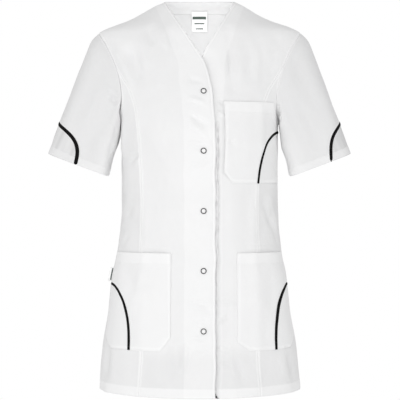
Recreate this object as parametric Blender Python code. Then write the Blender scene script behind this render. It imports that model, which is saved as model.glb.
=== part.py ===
"""Medical tunic: princess-seamed, with a snap front, a V neck and black piping, filled out as if worn.

Metres, +Z up. The wearer faces -Y, so the wearer's right side is at -X, on the left of a front view.
The origin lies midway between the two high points of the shoulders, which carry the tunic.

Every piece of the body lies on one surface, given by an angle and a height: angle 0 is the middle of the
front, 90 degrees the wearer's left side, 180 the middle of the back. A layer is a lift off that surface.
"""

import math
from collections import namedtuple

import bmesh
import bpy
import numpy as np

# ---------------------------------------------------------------- driving dimensions

COLLECTION_NAME = "medical_tunic"
CLOTH = 0.0012
FACING_CLOTH = 0.0010
HEM_CLOTH = 0.0022
SEAM_GAP = 0.0003
LAYER_GAP = 0.0003
SMALL_STEP = 1e-4
WELD = 1e-6
SHARP_ANGLE = math.radians(40)

HEM_Z = -0.760
HEM_BAND = 0.018
HEM_FOLD_STEP = 0.003
SHOULDER_POINT_Z = -0.0625
UNDERARM_Z = -0.2375
BACK_NECK_Z = 0.0080
BACK_RISE_POWER = 0.76
SKIRT_ROWS = 15
ARMHOLE_STEPS = 14
PRINCESS_STEP = 6
FRONT_SCOOP = 0.020
BACK_SCOOP = 0.013

Section = namedtuple("Section", "z half_width front_depth back_depth squareness")
SECTIONS = (
    Section(0.0120, 0.0600, 0.018, 0.060, 2.00),
    Section(0.0000, 0.0690, 0.022, 0.066, 2.00),
    Section(-0.0080, 0.0850, 0.030, 0.072, 2.00),
    Section(-0.0156, 0.0978, 0.036, 0.076, 2.05),
    Section(-0.0350, 0.1338, 0.053, 0.084, 2.10),
    Section(-0.0625, 0.1970, 0.073, 0.095, 2.20),
    Section(-0.0800, 0.2030, 0.081, 0.100, 2.20),
    Section(-0.1100, 0.1960, 0.093, 0.107, 2.25),
    Section(-0.1400, 0.1870, 0.105, 0.113, 2.30),
    Section(-0.1900, 0.1700, 0.123, 0.121, 2.35),
    Section(-0.2375, 0.1530, 0.136, 0.125, 2.40),
    Section(-0.2700, 0.1520, 0.139, 0.124, 2.40),
    Section(-0.3400, 0.1520, 0.134, 0.115, 2.35),
    Section(-0.4200, 0.1530, 0.122, 0.104, 2.25),
    Section(-0.4860, 0.1600, 0.122, 0.108, 2.25),
    Section(-0.5450, 0.1715, 0.126, 0.121, 2.25),
    Section(-0.6040, 0.1780, 0.131, 0.133, 2.30),
    Section(-0.6820, 0.1910, 0.137, 0.141, 2.20),
    Section(-0.7600, 0.1970, 0.142, 0.145, 2.05),
    Section(-0.8000, 0.2000, 0.144, 0.147, 2.05),
)

# The cut edge of each front: the straight V from the high point of the shoulder, then the front edge.
FrontEdge = namedtuple("FrontEdge", "z right_x left_x")
FRONT_EDGES = (
    FrontEdge(0.000, -0.0690, 0.0690),
    FrontEdge(-0.057, -0.0330, 0.0365),
    FrontEdge(-0.114, 0.0029, 0.0040),
    FrontEdge(-0.127, 0.0104, -0.0028),
    FrontEdge(-0.152, 0.0179, -0.0094),
    FrontEdge(-0.181, 0.0235, -0.0141),
    FrontEdge(-0.238, 0.0291, -0.0155),
    FrontEdge(-0.270, 0.0300, -0.0157),
    FrontEdge(-0.760, 0.0300, -0.0157),
)

# The princess seam below its start on the armhole, as a distance from the middle.
SeamPoint = namedtuple("SeamPoint", "z x")
PRINCESS_SEAM = (
    SeamPoint(-0.153, 0.1480),
    SeamPoint(-0.168, 0.1385),
    SeamPoint(-0.190, 0.1283),
    SeamPoint(-0.227, 0.1184),
    SeamPoint(-0.293, 0.1120),
    SeamPoint(-0.388, 0.1085),
    SeamPoint(-0.483, 0.1110),
    SeamPoint(-0.676, 0.1090),
    SeamPoint(-0.760, 0.1150),
)

FacingWidth = namedtuple("FacingWidth", "z width")
FACING_WIDTHS = (
    FacingWidth(0.000, 0.018),
    FacingWidth(-0.114, 0.042),
    FacingWidth(-0.170, 0.059),
    FacingWidth(-0.760, 0.059),
)
FACING_COLUMNS = 3
FRONT_COLUMNS = 9
SIDE_COLUMNS = 4
TIP_SHARE = 0.7

# Where the left front runs under the right one it lies this much deeper, with room for the snaps.
LAP_DEPTH = 0.0055
LAP_FADE = 0.035
LAP_TOP_Z = -0.090
LAP_RISE = 0.030

NECK_COLUMNS = 6
RIDGE_COLUMNS = 6
BACK_FACING_ROWS = 3

# The largest folds, each a soft ridge (or, with a negative height, a trough) along a line on the body.
# FOLD_REACH is the radius at which an angle is counted as a length across a fold.
FOLD_REACH = 0.15
Fold = namedtuple("Fold", "name angle_1 z_1 angle_2 z_2 half_width height")
FOLDS = (
    Fold("left_chest_inner", 38, -0.060, 27, -0.175, 0.013, -0.0030),
    Fold("left_chest_outer", 52, -0.075, 42, -0.165, 0.014, 0.0030),
    Fold("right_chest", -44, -0.065, -36, -0.165, 0.015, 0.0025),
    Fold("left_waist", 80, -0.388, 52, -0.452, 0.013, -0.0040),
    Fold("left_waist_low", 84, -0.415, 58, -0.470, 0.012, 0.0015),
    Fold("right_waist", -80, -0.370, -54, -0.450, 0.014, -0.0035),
    Fold("left_hem", 70, -0.690, 78, -0.760, 0.014, -0.0040),
    Fold("right_hem", -74, -0.690, -82, -0.760, 0.014, -0.0035),
    Fold("right_skirt", -22, -0.690, -18, -0.760, 0.016, -0.0025),
    Fold("back_left_flute", 138, -0.500, 132, -0.760, 0.022, -0.0050),
    Fold("back_right_flute", -136, -0.480, -130, -0.760, 0.022, -0.0050),
    Fold("back_middle_flute", 178, -0.520, 184, -0.760, 0.024, 0.0045),
    Fold("back_left_blade", 118, -0.215, 150, -0.330, 0.018, -0.0040),
    Fold("back_right_blade", -116, -0.220, -152, -0.340, 0.018, -0.0040),
    Fold("back_waist_left", 112, -0.400, 150, -0.435, 0.014, 0.0035),
    Fold("back_waist_right", -110, -0.410, -148, -0.445, 0.014, 0.0035),
)

# The sleeve: a tube from the armhole to a tilted hem, fuller where its head turns over the shoulder.
SLEEVE_HEM_CENTRE = (0.2354, -0.0060, -0.3186)
SLEEVE_HEM_HALF_WIDTH = 0.0616
SLEEVE_HEM_HALF_DEPTH = 0.0560
SLEEVE_HEM_TILT = math.radians(20.7)
SLEEVE_FRONT_DROP = 0.0025
SLEEVE_HEAD_ROLL = 0.010
SLEEVE_ROLL_LENGTH = 0.026
SLEEVE_SEAM_GAP = 0.00035
SLEEVE_COLUMNS = 2 * ARMHOLE_STEPS
SLEEVE_STEP = 1e-3
SLEEVE_OUTER_LENGTH = 0.25
MITRE_LIMIT = 0.9
SLEEVE_ROWS = (0.0, 0.02, 0.05, 0.09, 0.14, 0.22, 0.32, 0.43, 0.55, 0.67, 0.79, 0.90, 1.0)
ARCH_ANGLE = math.radians(77)
ARCH_TWIST = {-1: math.radians(6), 1: math.radians(-8)}
ARCH_HEIGHT = 0.245
ARCH_POWER = 0.78
ARCH_COLUMNS = 14
ARCH_ROWS = 4

# Folds in the sleeves, by the turn round the sleeve in degrees and the share of the way down it. They fade
# over SLEEVE_FOLD_FADE of the length past their ends, and grow in over SLEEVE_SEAM_CALM below the armhole.
SLEEVE_FOLD_FADE = 0.2
SLEEVE_SEAM_CALM = 0.15
SleeveFold = namedtuple("SleeveFold", "name angle row_1 row_2 half_angle height")
SLEEVE_FOLDS = (
    SleeveFold("front_long", 118, 0.10, 0.80, 15, -0.0040),
    SleeveFold("front_short", 60, 0.15, 0.50, 14, -0.0025),
    SleeveFold("back_long", 242, 0.12, 0.85, 16, -0.0040),
    SleeveFold("back_short", 296, 0.20, 0.60, 15, -0.0025),
    SleeveFold("underarm", 180, 0.18, 0.34, 22, 0.0040),
)

# The pockets: patches whose lower outer corner is an insert behind a squared quarter-ellipse of piping.
# The insert's own lower corner is cut off from corner_angle up to corner_z at the outer edge.
Pocket = namedtuple(
    "Pocket",
    "name side inner_x top bottom outer_angle arch_angle arch_top arch_power chamfer_x chamfer_z "
    "corner_angle corner_z",
)
POCKETS = (
    Pocket(
        "hip_right", -1, 0.0536, -0.4880, -0.6720, 80, 52.5, -0.5500, 0.84, 0.0739, -0.6460, 69, -0.6460
    ),
    Pocket(
        "hip_left", 1, 0.0705, -0.4880, -0.6720, 80, 57.0, -0.5500, 0.92, 0.0950, -0.6550, 70, -0.6460
    ),
    Pocket(
        "chest", 1, 0.0456, -0.2020, -0.3565, 78, 47.5, -0.2575, 0.74, 0.0623, -0.3360, 78, -0.3565
    ),
)
POCKET_EDGE_GAP = 0.0008
POCKET_PUFF = 0.0026
POCKET_ARMHOLE_MARGIN = math.radians(5)
POCKET_CORNER_REACH = 0.010
POCKET_CORNER_STEPS = 60
POCKET_ROWS = 6
POCKET_BOTTOM_COLUMNS = 3
POCKET_ARCH_COLUMNS = 7

PIPING_HALF_WIDTH = 0.0030
PIPING_HEIGHT = 0.0018
PIPING_PROFILE = ((-1.0, 0.25), (-0.70, 0.80), (0.0, 1.0), (0.70, 0.80), (1.0, 0.25))

SNAP_COUNT = 5
SNAP_X = 0.0078
SNAP_TOP_Z = -0.183
SNAP_SPACING = 0.1128
SNAP_RADIUS = 0.0047
SNAP_WIRE = 0.0008
SNAP_CLEARANCE = 0.0006
SOCKET_RADIUS = 0.0048
RING_SIDES = 5
RING_STEPS = 16
SOCKET_SIDES = 14

LABEL_HALF_WIDTH = 0.0165
LABEL_TOP_Z = -0.0082
LABEL_BOTTOM_Z = -0.0480
LABEL_GAP = 0.0011
LABEL_CLOTH = 0.0010
LABEL_ROWS = 2
LABEL_COLUMNS = 4
SIDE_LABEL_Z = -0.533
SIDE_LABEL_SIZE = (0.0072, 0.0012, 0.0270)

WHITE = (0.86, 0.87, 0.88)
BLACK = (0.012, 0.012, 0.013)
STEEL = (0.62, 0.62, 0.60)

# Each look is a colour, a roughness and, for metal, a metallic value.
CLOTH_LOOK = (WHITE, 0.85)
LABEL_LOOK = (WHITE, 0.70)
PIPING_LOOK = (BLACK, 0.60)
METAL_LOOK = (STEEL, 0.30, 1.0)


# ---------------------------------------------------------------- the body surface


def column(table, name):
    """One named column of a table, with the lowest row first."""
    rows = sorted(table, key=lambda row: row.z)
    return np.array([getattr(row, name) for row in rows])


def smooth_value(table, name, z):
    """The column's value at each height: a monotone cubic through the table's rows."""
    knots = column(table, "z")
    values = column(table, name)
    step = np.diff(knots)
    slope = np.diff(values) / step
    tangent = np.zeros(len(values))
    both = slope[:-1] * slope[1:]
    mean = 2 * both / np.where(both > 0, slope[:-1] + slope[1:], 1)
    tangent[1:-1] = np.where(both > 0, mean, 0)
    tangent[0] = slope[0]
    tangent[-1] = slope[-1]
    z = np.clip(z, knots[0], knots[-1])
    i = np.clip(np.searchsorted(knots, z) - 1, 0, len(step) - 1)
    t = (z - knots[i]) / step[i]
    start = (1 + 2 * t) * (1 - t) ** 2 * values[i] + t * (1 - t) ** 2 * step[i] * tangent[i]
    end = t**2 * (3 - 2 * t) * values[i + 1] - t**2 * (1 - t) * step[i] * tangent[i + 1]
    return start + end


def smoothstep(value):
    value = np.clip(value, 0, 1)
    return value * value * (3 - 2 * value)


def base_point(angle, z):
    """The body's ring at each height: a squared ellipse with its own depth in front and behind."""
    a = smooth_value(SECTIONS, "half_width", z)
    front = smooth_value(SECTIONS, "front_depth", z)
    back = smooth_value(SECTIONS, "back_depth", z)
    n = smooth_value(SECTIONS, "squareness", z)
    depth = np.where(np.cos(angle) > 0, front, back)
    radius = ((abs(np.sin(angle)) / a) ** n + (abs(np.cos(angle)) / depth) ** n) ** (-1 / n)
    return np.stack([radius * np.sin(angle), -radius * np.cos(angle), z], axis=-1)


def unit(vectors):
    return vectors / np.linalg.norm(vectors, axis=-1, keepdims=True)


def base_normal(angle, z):
    across = base_point(angle + SMALL_STEP, z) - base_point(angle - SMALL_STEP, z)
    up = base_point(angle, z + SMALL_STEP) - base_point(angle, z - SMALL_STEP)
    return unit(np.cross(across, up))


def fold_height(angle, z):
    """How far the folds raise the cloth: each fades with the distance from its line."""
    total = np.zeros(np.shape(z))
    for fold in FOLDS:
        x_1 = math.radians(fold.angle_1) * FOLD_REACH
        x_2 = math.radians(fold.angle_2) * FOLD_REACH
        along = np.array([x_2 - x_1, fold.z_2 - fold.z_1])
        for turn in (-2 * math.pi, 0, 2 * math.pi):
            dx = (angle + turn) * FOLD_REACH - x_1
            dz = z - fold.z_1
            t = np.clip((dx * along[0] + dz * along[1]) / (along @ along), 0, 1)
            away = np.hypot(dx - t * along[0], dz - t * along[1])
            total += fold.height * np.exp(-((away / fold.half_width) ** 2))
    return total


def cloth_point(angle, z, lift=0.0):
    angle, z = np.broadcast_arrays(np.asarray(angle, float), np.asarray(z, float))
    raised = fold_height(angle, z) + lift
    return base_point(angle, z) + raised[..., None] * base_normal(angle, z)


def angle_at(x, z):
    """The angle of the front surface's point with this x."""
    a = smooth_value(SECTIONS, "half_width", z)
    front = smooth_value(SECTIONS, "front_depth", z)
    n = smooth_value(SECTIONS, "squareness", z)
    share = np.clip(abs(x) / a, 0, 1)
    return np.arctan2(x, front * (1 - share**n) ** (1 / n))


def back_angle_at(x, z):
    a = smooth_value(SECTIONS, "half_width", z)
    back = smooth_value(SECTIONS, "back_depth", z)
    n = smooth_value(SECTIONS, "squareness", z)
    share = np.clip(abs(x) / a, 0, 1)
    return np.arctan2(x, -back * (1 - share**n) ** (1 / n))


# ---------------------------------------------------------------- seam lines and rows


def armhole_x(z, scoop):
    """The armhole as seen from the front: a line from shoulder point to underarm, scooped inwards."""
    top = smooth_value(SECTIONS, "half_width", SHOULDER_POINT_Z)
    low = smooth_value(SECTIONS, "half_width", UNDERARM_Z)
    s = (SHOULDER_POINT_Z - z) / (SHOULDER_POINT_Z - UNDERARM_Z)
    return top + (low - top) * s - scoop * 4 * s * (1 - s)


def armhole_angle_at(z):
    """The body angle of the front of the left armhole at a height."""
    return angle_at(armhole_x(z, FRONT_SCOOP), z)


def armhole_z(turn):
    """The height on the armhole at a turn from 0 (shoulder) through pi (underarm)."""
    return SHOULDER_POINT_Z + (UNDERARM_Z - SHOULDER_POINT_Z) * (1 - np.cos(turn)) / 2


def armhole_angle(turn):
    """The body angle on the left armhole, down its front for turns to pi and up its back after."""
    z = armhole_z(turn)
    front = angle_at(armhole_x(z, FRONT_SCOOP), z)
    back = back_angle_at(armhole_x(z, BACK_SCOOP), z)
    return np.where(turn <= math.pi, front, back)


def skirt_levels():
    """Heights of the rows from the hem to just below the underarm."""
    band_top = HEM_Z + HEM_BAND + HEM_FOLD_STEP
    upper = np.linspace(band_top, UNDERARM_Z, SKIRT_ROWS + 1)
    return np.concatenate([[HEM_Z, HEM_Z + HEM_BAND], upper])


def armhole_turns(last_step=0):
    """Turns of the rows above the underarm, from the lowest up to the step asked for."""
    steps = np.arange(ARMHOLE_STEPS - 1, last_step - 1, -1)
    return steps * math.pi / ARMHOLE_STEPS


def middle_levels(top_z, power=1.0):
    """Heights at the middle of front or back of the rows whose sides lie on the armhole."""
    rise = (1 + np.cos(armhole_turns())) / 2
    return UNDERARM_Z + rise**power * (top_z - UNDERARM_Z)


def princess_angle(z):
    start_z = armhole_z(PRINCESS_STEP * math.pi / ARMHOLE_STEPS)
    start = SeamPoint(float(start_z), float(armhole_x(start_z, FRONT_SCOOP)))
    x = smooth_value((start,) + PRINCESS_SEAM, "x", z)
    return angle_at(x, z)


def angle_of(length, angle, z):
    """A short length along the ring, as an angle."""
    return length / np.linalg.norm(base_point(angle, z)[..., :2], axis=-1)


def lerp_rows(start, end, share):
    return start[:, None] + (end - start)[:, None] * share


def front_edge_angle(side, z):
    edge = smooth_value(FRONT_EDGES, "left_x" if side > 0 else "right_x", z)
    return angle_at(side * edge, z)


def front_rows(side):
    """Angles and heights of a front panel's points, a row from the front edge to the side boundary."""
    low = skirt_levels()
    turns = armhole_turns()
    edge_z = np.concatenate([low, middle_levels(0.0)])
    side_z = np.concatenate([low, armhole_z(turns)])
    on_seam = side_z < armhole_z(PRINCESS_STEP * math.pi / ARMHOLE_STEPS)
    seam = np.where(on_seam, princess_angle(side_z), armhole_angle_at(side_z))
    start = front_edge_angle(side, edge_z)
    end = seam - angle_of(SEAM_GAP / 2, seam, side_z)
    length = np.linalg.norm(base_point(end, side_z) - base_point(start, edge_z), axis=-1)
    facing = smooth_value(FACING_WIDTHS, "width", edge_z) / length
    inner = facing[:, None] * np.linspace(0, 1, FACING_COLUMNS + 1)
    outer = facing[:, None] + (1 - facing)[:, None] * np.linspace(0, 1, FRONT_COLUMNS - FACING_COLUMNS + 1)
    share = np.concatenate([inner, outer[:, 1:]], axis=1)
    angle = lerp_rows(start, end, share)
    z = lerp_rows(edge_z, side_z, share)
    ridge = math.pi / 2 - angle_of(SEAM_GAP / 2, angle, z)
    angle[-1] = ridge[-1]
    return side * angle, z


def side_front_rows(side):
    """Rows of a side front, from the princess seam to the side seam or the armhole."""
    z = np.concatenate([skirt_levels(), armhole_z(armhole_turns(PRINCESS_STEP))])
    start = princess_angle(z)
    end = np.where(z < UNDERARM_Z + WELD, math.pi / 2, armhole_angle_at(z))
    start = start + angle_of(SEAM_GAP / 2, start, z)
    end = end - angle_of(SEAM_GAP / 2, end, z)
    # The two seams meet in the top row, so the piece ends in a narrow tip just below it.
    for line in (z, start, end):
        line[-1] = line[-2] + (line[-1] - line[-2]) * TIP_SHARE
    share = np.linspace(0, 1, SIDE_COLUMNS + 1)
    return side * lerp_rows(start, end, share), lerp_rows(z, z, share)


def half_back_rows():
    """Rows of the left half of the back, from the middle to the side seam, armhole or shoulder."""
    low = skirt_levels()
    turns = armhole_turns()
    middle_z = np.concatenate([low, middle_levels(BACK_NECK_Z, BACK_RISE_POWER)])
    side_z = np.concatenate([low, armhole_z(turns)])
    seam = np.concatenate([np.full(len(low), math.pi / 2), armhole_angle(2 * math.pi - turns)])
    share = np.linspace(0, 1, NECK_COLUMNS + RIDGE_COLUMNS + 1)
    angle = lerp_rows(np.full(len(seam), math.pi), seam, share)
    z = lerp_rows(middle_z, side_z, share)
    # The top row follows the neckline round to the shoulder ridge, and the rows below turn towards it.
    round_neck = np.linspace(0, 1, NECK_COLUMNS + 1)
    on_ridge = np.linspace(0, 1, RIDGE_COLUMNS + 1)[1:]
    top_angle = np.concatenate([math.pi * (1 - round_neck / 2), np.full(RIDGE_COLUMNS, math.pi / 2)])
    top_z = np.concatenate([BACK_NECK_Z * (1 - round_neck**2), SHOULDER_POINT_Z * on_ridge])
    rise = np.concatenate([np.zeros(len(low)), (1 + np.cos(turns)) / 2])
    pull = (1 - (1 - rise) ** 2)[:, None]
    angle = angle + pull * (top_angle - angle[-1])
    z = z + pull * (top_z - z[-1])
    least = math.pi / 2 + angle_of(SEAM_GAP / 2, angle, z)
    return np.maximum(angle, least), z


def back_rows():
    """Rows of the whole back, from the wearer's left round to the right."""
    angle, z = half_back_rows()
    left = angle[:, ::-1]
    right = 2 * math.pi - angle[:, 1:]
    return np.concatenate([left, right], axis=1), np.concatenate([z[:, ::-1], z[:, 1:]], axis=1)


def lap_lift(side, angle, z):
    """How deep the left front lies where the right one covers it."""
    if side < 0:
        return np.zeros(angle.shape)
    x = base_point(angle, z)[..., 0]
    over = smooth_value(FRONT_EDGES, "right_x", z)
    across = smoothstep((over + LAP_FADE - x) / LAP_FADE)
    down = smoothstep((LAP_TOP_Z - z) / LAP_RISE)
    return -LAP_DEPTH * across * down


# ---------------------------------------------------------------- building solids


def new_material(name, colour, roughness, metallic=0.0):
    material = bpy.data.materials.new(name)
    material.use_nodes = True
    shader = material.node_tree.nodes["Principled BSDF"]
    shader.inputs["Base Color"].default_value = (*colour, 1.0)
    shader.inputs["Roughness"].default_value = roughness
    shader.inputs["Metallic"].default_value = metallic
    return material


def add_object(name, bm, collection, look):
    bmesh.ops.recalc_face_normals(bm, faces=bm.faces)
    if bm.calc_volume(signed=True) < 0:
        bmesh.ops.reverse_faces(bm, faces=bm.faces)
    mesh = bpy.data.meshes.new(name)
    bm.to_mesh(mesh)
    bm.free()
    mesh.shade_smooth()
    mesh.set_sharp_from_angle(angle=SHARP_ANGLE)
    mesh.materials.append(new_material(name, *look))
    node = bpy.data.objects.new(name, mesh)
    collection.objects.link(node)
    return node


def add_wall(name, outer, inner, collection, look, closed=False):
    """A closed wall between two grids of points with the same rows and columns."""
    rows, columns = outer.shape[:2]
    outer = outer.reshape(-1, 3)
    inner = inner.reshape(-1, 3)
    bm = bmesh.new()
    place = bm.verts.layers.int.new("place")
    bmesh.ops.create_grid(bm, x_segments=columns - 1, y_segments=rows - 1, size=1.0)
    for vert in bm.verts:
        i = round((vert.co.x + 1) / 2 * (columns - 1))
        j = round((vert.co.y + 1) / 2 * (rows - 1))
        vert[place] = j * columns + i
    for vert in bm.verts:
        vert.co = outer[vert[place]]
    if closed:
        bmesh.ops.remove_doubles(bm, verts=bm.verts, dist=WELD)
    skin = bmesh.ops.extrude_face_region(bm, geom=bm.faces[:], use_keep_orig=True)
    for item in skin["geom"]:
        if isinstance(item, bmesh.types.BMVert):
            item.co = inner[item[place]]
    return add_object(name, bm, collection, look)


def body_wall(name, angle, z, lift, thickness, collection, look, edge_normals=()):
    """A panel of the body. edge_normals gives rows and a column whose wall is mitred to a sleeve."""
    normal = base_normal(angle, z)
    for row, col, direction in edge_normals:
        normal[row, col] = direction
    outer = cloth_point(angle, z, lift)
    inner = outer - np.broadcast_to(thickness, z.shape)[..., None] * normal
    return add_wall(name, outer, inner, collection, look)


def hem_thickness(z):
    """The cloth is folded double in the hem band, which is the two lowest rows."""
    thick = np.full(z.shape, CLOTH)
    thick[:2] = HEM_CLOTH
    return thick


# ---------------------------------------------------------------- sleeves


def armhole_point(turn):
    z = armhole_z(turn)
    edge = cloth_point(armhole_angle(turn), z)
    return edge + np.array([SLEEVE_SEAM_GAP, 0, 0])


def hem_point(turn):
    """The hem ellipse, from its outer end (turn 0) over the front to its inner end (pi)."""
    wide = SLEEVE_HEM_HALF_WIDTH * np.array([math.cos(SLEEVE_HEM_TILT), 0, math.sin(SLEEVE_HEM_TILT)])
    deep = np.array([0, -SLEEVE_HEM_HALF_DEPTH, -SLEEVE_FRONT_DROP])
    round_hem = np.cos(turn)[..., None] * wide + np.sin(turn)[..., None] * deep
    return np.array(SLEEVE_HEM_CENTRE) + round_hem


def sleeve_base(turn, row):
    """A point of the left sleeve: row 0 on the armhole, 1 at the hem."""
    turn, row = np.broadcast_arrays(np.asarray(turn, float), np.asarray(row, float))
    start = armhole_point(np.mod(turn, 2 * math.pi))
    end = hem_point(turn)
    out = unit(end - np.array(SLEEVE_HEM_CENTRE))
    roll = SLEEVE_HEAD_ROLL * np.cos(turn / 2) ** 2
    distance = row * np.linalg.norm(end - start, axis=-1)
    left_over = np.clip(1 - distance / SLEEVE_ROLL_LENGTH, 0, 1) ** 2
    fullness = roll * (1 - row - left_over)
    return start + (end - start) * row[..., None] + out * fullness[..., None]


def sleeve_normal(turn, row):
    row = np.clip(row, 2 * SLEEVE_STEP, 1 - SLEEVE_STEP)
    across = sleeve_base(turn + SLEEVE_STEP, row) - sleeve_base(turn - SLEEVE_STEP, row)
    down = sleeve_base(turn, row + SLEEVE_STEP) - sleeve_base(turn, row - SLEEVE_STEP)
    return unit(np.cross(across, down))


def sleeve_fold_height(turn, row):
    total = np.zeros(np.shape(row))
    for fold in SLEEVE_FOLDS:
        away = np.degrees(turn) - fold.angle
        beyond = np.maximum(0, np.maximum(fold.row_1 - row, row - fold.row_2)) / SLEEVE_FOLD_FADE
        total += fold.height * np.exp(-((away / fold.half_angle) ** 2) - beyond**2)
    return total * smoothstep(row / SLEEVE_SEAM_CALM)


def sleeve_point(turn, row, lift=0.0):
    turn, row = np.broadcast_arrays(np.asarray(turn, float), np.asarray(row, float))
    raised = sleeve_fold_height(np.mod(turn, 2 * math.pi), row) + lift
    return sleeve_base(turn, row) + raised[..., None] * sleeve_normal(turn, row)


def mirrored(points, side):
    return points * np.array([side, 1, 1])


def mitre_normals():
    """At each armhole point the walls of body and sleeve share one direction, except in the underarm."""
    turns = np.arange(SLEEVE_COLUMNS + 1) * math.pi / ARMHOLE_STEPS
    body = base_normal(armhole_angle(np.mod(turns, 2 * math.pi)), armhole_z(turns))
    sleeve = sleeve_normal(turns, np.zeros(len(turns)))
    both = body + sleeve
    open_enough = (np.linalg.norm(both, axis=-1) > MITRE_LIMIT)[:, None]
    shared = unit(both)
    return np.where(open_enough, shared, body), np.where(open_enough, shared, sleeve)


def squared_arc(share, power):
    """A quarter of a squared ellipse as two lengths from 1 to 0 and from 0 to 1; even steps stay even."""
    swing = smoothstep(share) * math.pi / 2
    return np.clip(np.cos(swing), 0, 1) ** power, np.clip(np.sin(swing), 0, 1) ** power


def arch_points(side, inset=0.0):
    """The arch over the sleeve insert, as turns and rows, from its front foot over the top to the back."""
    half = np.linspace(0, 1, ARCH_COLUMNS // 2 + 1)
    across, up = squared_arc(half, ARCH_POWER)
    across = np.concatenate([across, -across[-2::-1]])
    up = np.concatenate([up, up[-2::-1]])
    turn = ARCH_TWIST[side] + (ARCH_ANGLE - inset / SLEEVE_HEM_HALF_DEPTH) * across
    row = 1 - (ARCH_HEIGHT - inset / SLEEVE_OUTER_LENGTH) * up
    return turn, row


def sleeve_grid(side):
    """Turns and rows of the sleeve's points; its lower edge runs over the arch, then round the hem."""
    arch_turn, arch_row = arch_points(side)
    rest_start = arch_turn[0]
    rest_end = 2 * math.pi + arch_turn[-1]
    rest = np.linspace(rest_start, rest_end, SLEEVE_COLUMNS - ARCH_COLUMNS + 1)
    foot_turn = np.concatenate([arch_turn[::-1], rest[1:]])
    foot_row = np.concatenate([arch_row[::-1], np.ones(len(rest) - 1)])
    half_arch = ARCH_COLUMNS // 2
    steps = np.arange(-half_arch, SLEEVE_COLUMNS - half_arch + 1)
    head_turn = steps * math.pi / ARMHOLE_STEPS
    down = np.array(SLEEVE_ROWS)[:, None]
    turn = head_turn + (foot_turn - head_turn) * smoothstep(down)
    return turn, foot_row * down, steps


def add_sleeve(side, word, collection):
    turn, row, steps = sleeve_grid(side)
    normal = sleeve_normal(turn, row)
    normal[0] = mitre_normals()[1][np.mod(steps, SLEEVE_COLUMNS)]
    outer = sleeve_point(turn, row)
    inner = outer - CLOTH * normal
    for grid in (outer, inner):
        grid[:, -1] = grid[:, 0]
    add_wall(
        f"sleeve_{word}", mirrored(outer, side), mirrored(inner, side), collection, CLOTH_LOOK, closed=True
    )


def add_sleeve_insert(side, word, collection):
    turn, row = arch_points(side, inset=SEAM_GAP)
    for line in (turn, row):
        line[0] = (line[0] + line[1]) / 2
        line[-1] = (line[-1] + line[-2]) / 2
    down = np.linspace(0, 1, ARCH_ROWS + 1)[:, None]
    rows = row + (1 - row) * down
    turns = np.broadcast_to(turn, rows.shape)
    outer = sleeve_point(turns, rows)
    inner = outer - CLOTH * sleeve_normal(turns, rows)
    add_wall(
        f"sleeve_insert_{word}", mirrored(outer, side), mirrored(inner, side), collection, CLOTH_LOOK
    )


# ---------------------------------------------------------------- piping


def add_piping(name, path, normal, collection):
    """A flat-backed cord along a path on the outer face, lying just off it."""
    along = unit(np.gradient(path, axis=0))
    across = unit(np.cross(along, normal))
    wide = np.array([offset for offset, _ in PIPING_PROFILE])[None, :, None] * PIPING_HALF_WIDTH
    high = np.array([height for _, height in PIPING_PROFILE])[None, :, None] * PIPING_HEIGHT
    flat = path[:, None] + wide * across[:, None] + LAYER_GAP * normal[:, None]
    return add_wall(name, flat + high * normal[:, None], flat, collection, PIPING_LOOK)


def add_sleeve_piping(side, word, collection):
    turn, row = arch_points(side)
    path = sleeve_point(turn, row)
    normal = sleeve_normal(turn, row)
    add_piping(f"sleeve_piping_{word}", mirrored(path, side), mirrored(normal, side), collection)


# ---------------------------------------------------------------- pockets


def pocket_outer_angle(pocket, z):
    """The outer edge, which follows the armhole above the underarm."""
    straight = math.radians(pocket.outer_angle)
    if pocket.top < UNDERARM_Z:
        return np.full(np.shape(z), straight)
    beside = armhole_angle_at(np.maximum(z, UNDERARM_Z)) - POCKET_ARMHOLE_MARGIN
    return np.where(z > UNDERARM_Z, np.minimum(straight, beside), straight)


def pocket_lift(pocket, angle, z):
    """The pocket stands off the panel least at its sewn edges and most in the middle of its mouth."""
    inner = angle_at(pocket.inner_x, z)
    outer = math.radians(pocket.outer_angle)
    u = np.clip((angle - inner) / (outer - inner), 0, 1)
    v = np.clip((z - pocket.bottom) / (pocket.top - pocket.bottom), 0, 1)
    return POCKET_EDGE_GAP + POCKET_PUFF * 4 * u * (1 - u) * v * (2 - v)


def pocket_top_z(pocket, angle):
    """The mouth's height, lower where the armhole cuts the outer corner off."""
    z = np.linspace(pocket.top, UNDERARM_Z - POCKET_CORNER_REACH, POCKET_CORNER_STEPS)
    edge = pocket_outer_angle(pocket, z)
    return np.where(angle <= edge[0], pocket.top, np.interp(angle, edge, z))


def pocket_arch(pocket, inset=0.0):
    """The piped seam: a squared quarter-ellipse from the bottom edge up to the outer edge."""
    across, up = squared_arc(np.linspace(0, 1, POCKET_ARCH_COLUMNS + 1), pocket.arch_power)
    outer = math.radians(pocket.outer_angle)
    foot = math.radians(pocket.arch_angle)
    reach = outer - foot - angle_of(inset, foot, pocket.bottom)
    angle = outer - reach * across
    z = pocket.bottom + (pocket.arch_top - inset - pocket.bottom) * up
    return angle, z


def pocket_foot_z(pocket, angle):
    """The bottom edge, which rises to the outer edge where the corner is cut off."""
    corner = math.radians(pocket.corner_angle)
    outer = math.radians(pocket.outer_angle)
    share = np.clip((angle - corner) / max(outer - corner, SMALL_STEP), 0, 1)
    return pocket.bottom + (pocket.corner_z - pocket.bottom) * share


def pocket_wall(name, pocket, angle, z, collection):
    lift = pocket_lift(pocket, angle, z) + CLOTH
    body_wall(name, pocket.side * angle, z, lift, CLOTH, collection, CLOTH_LOOK)


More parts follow.
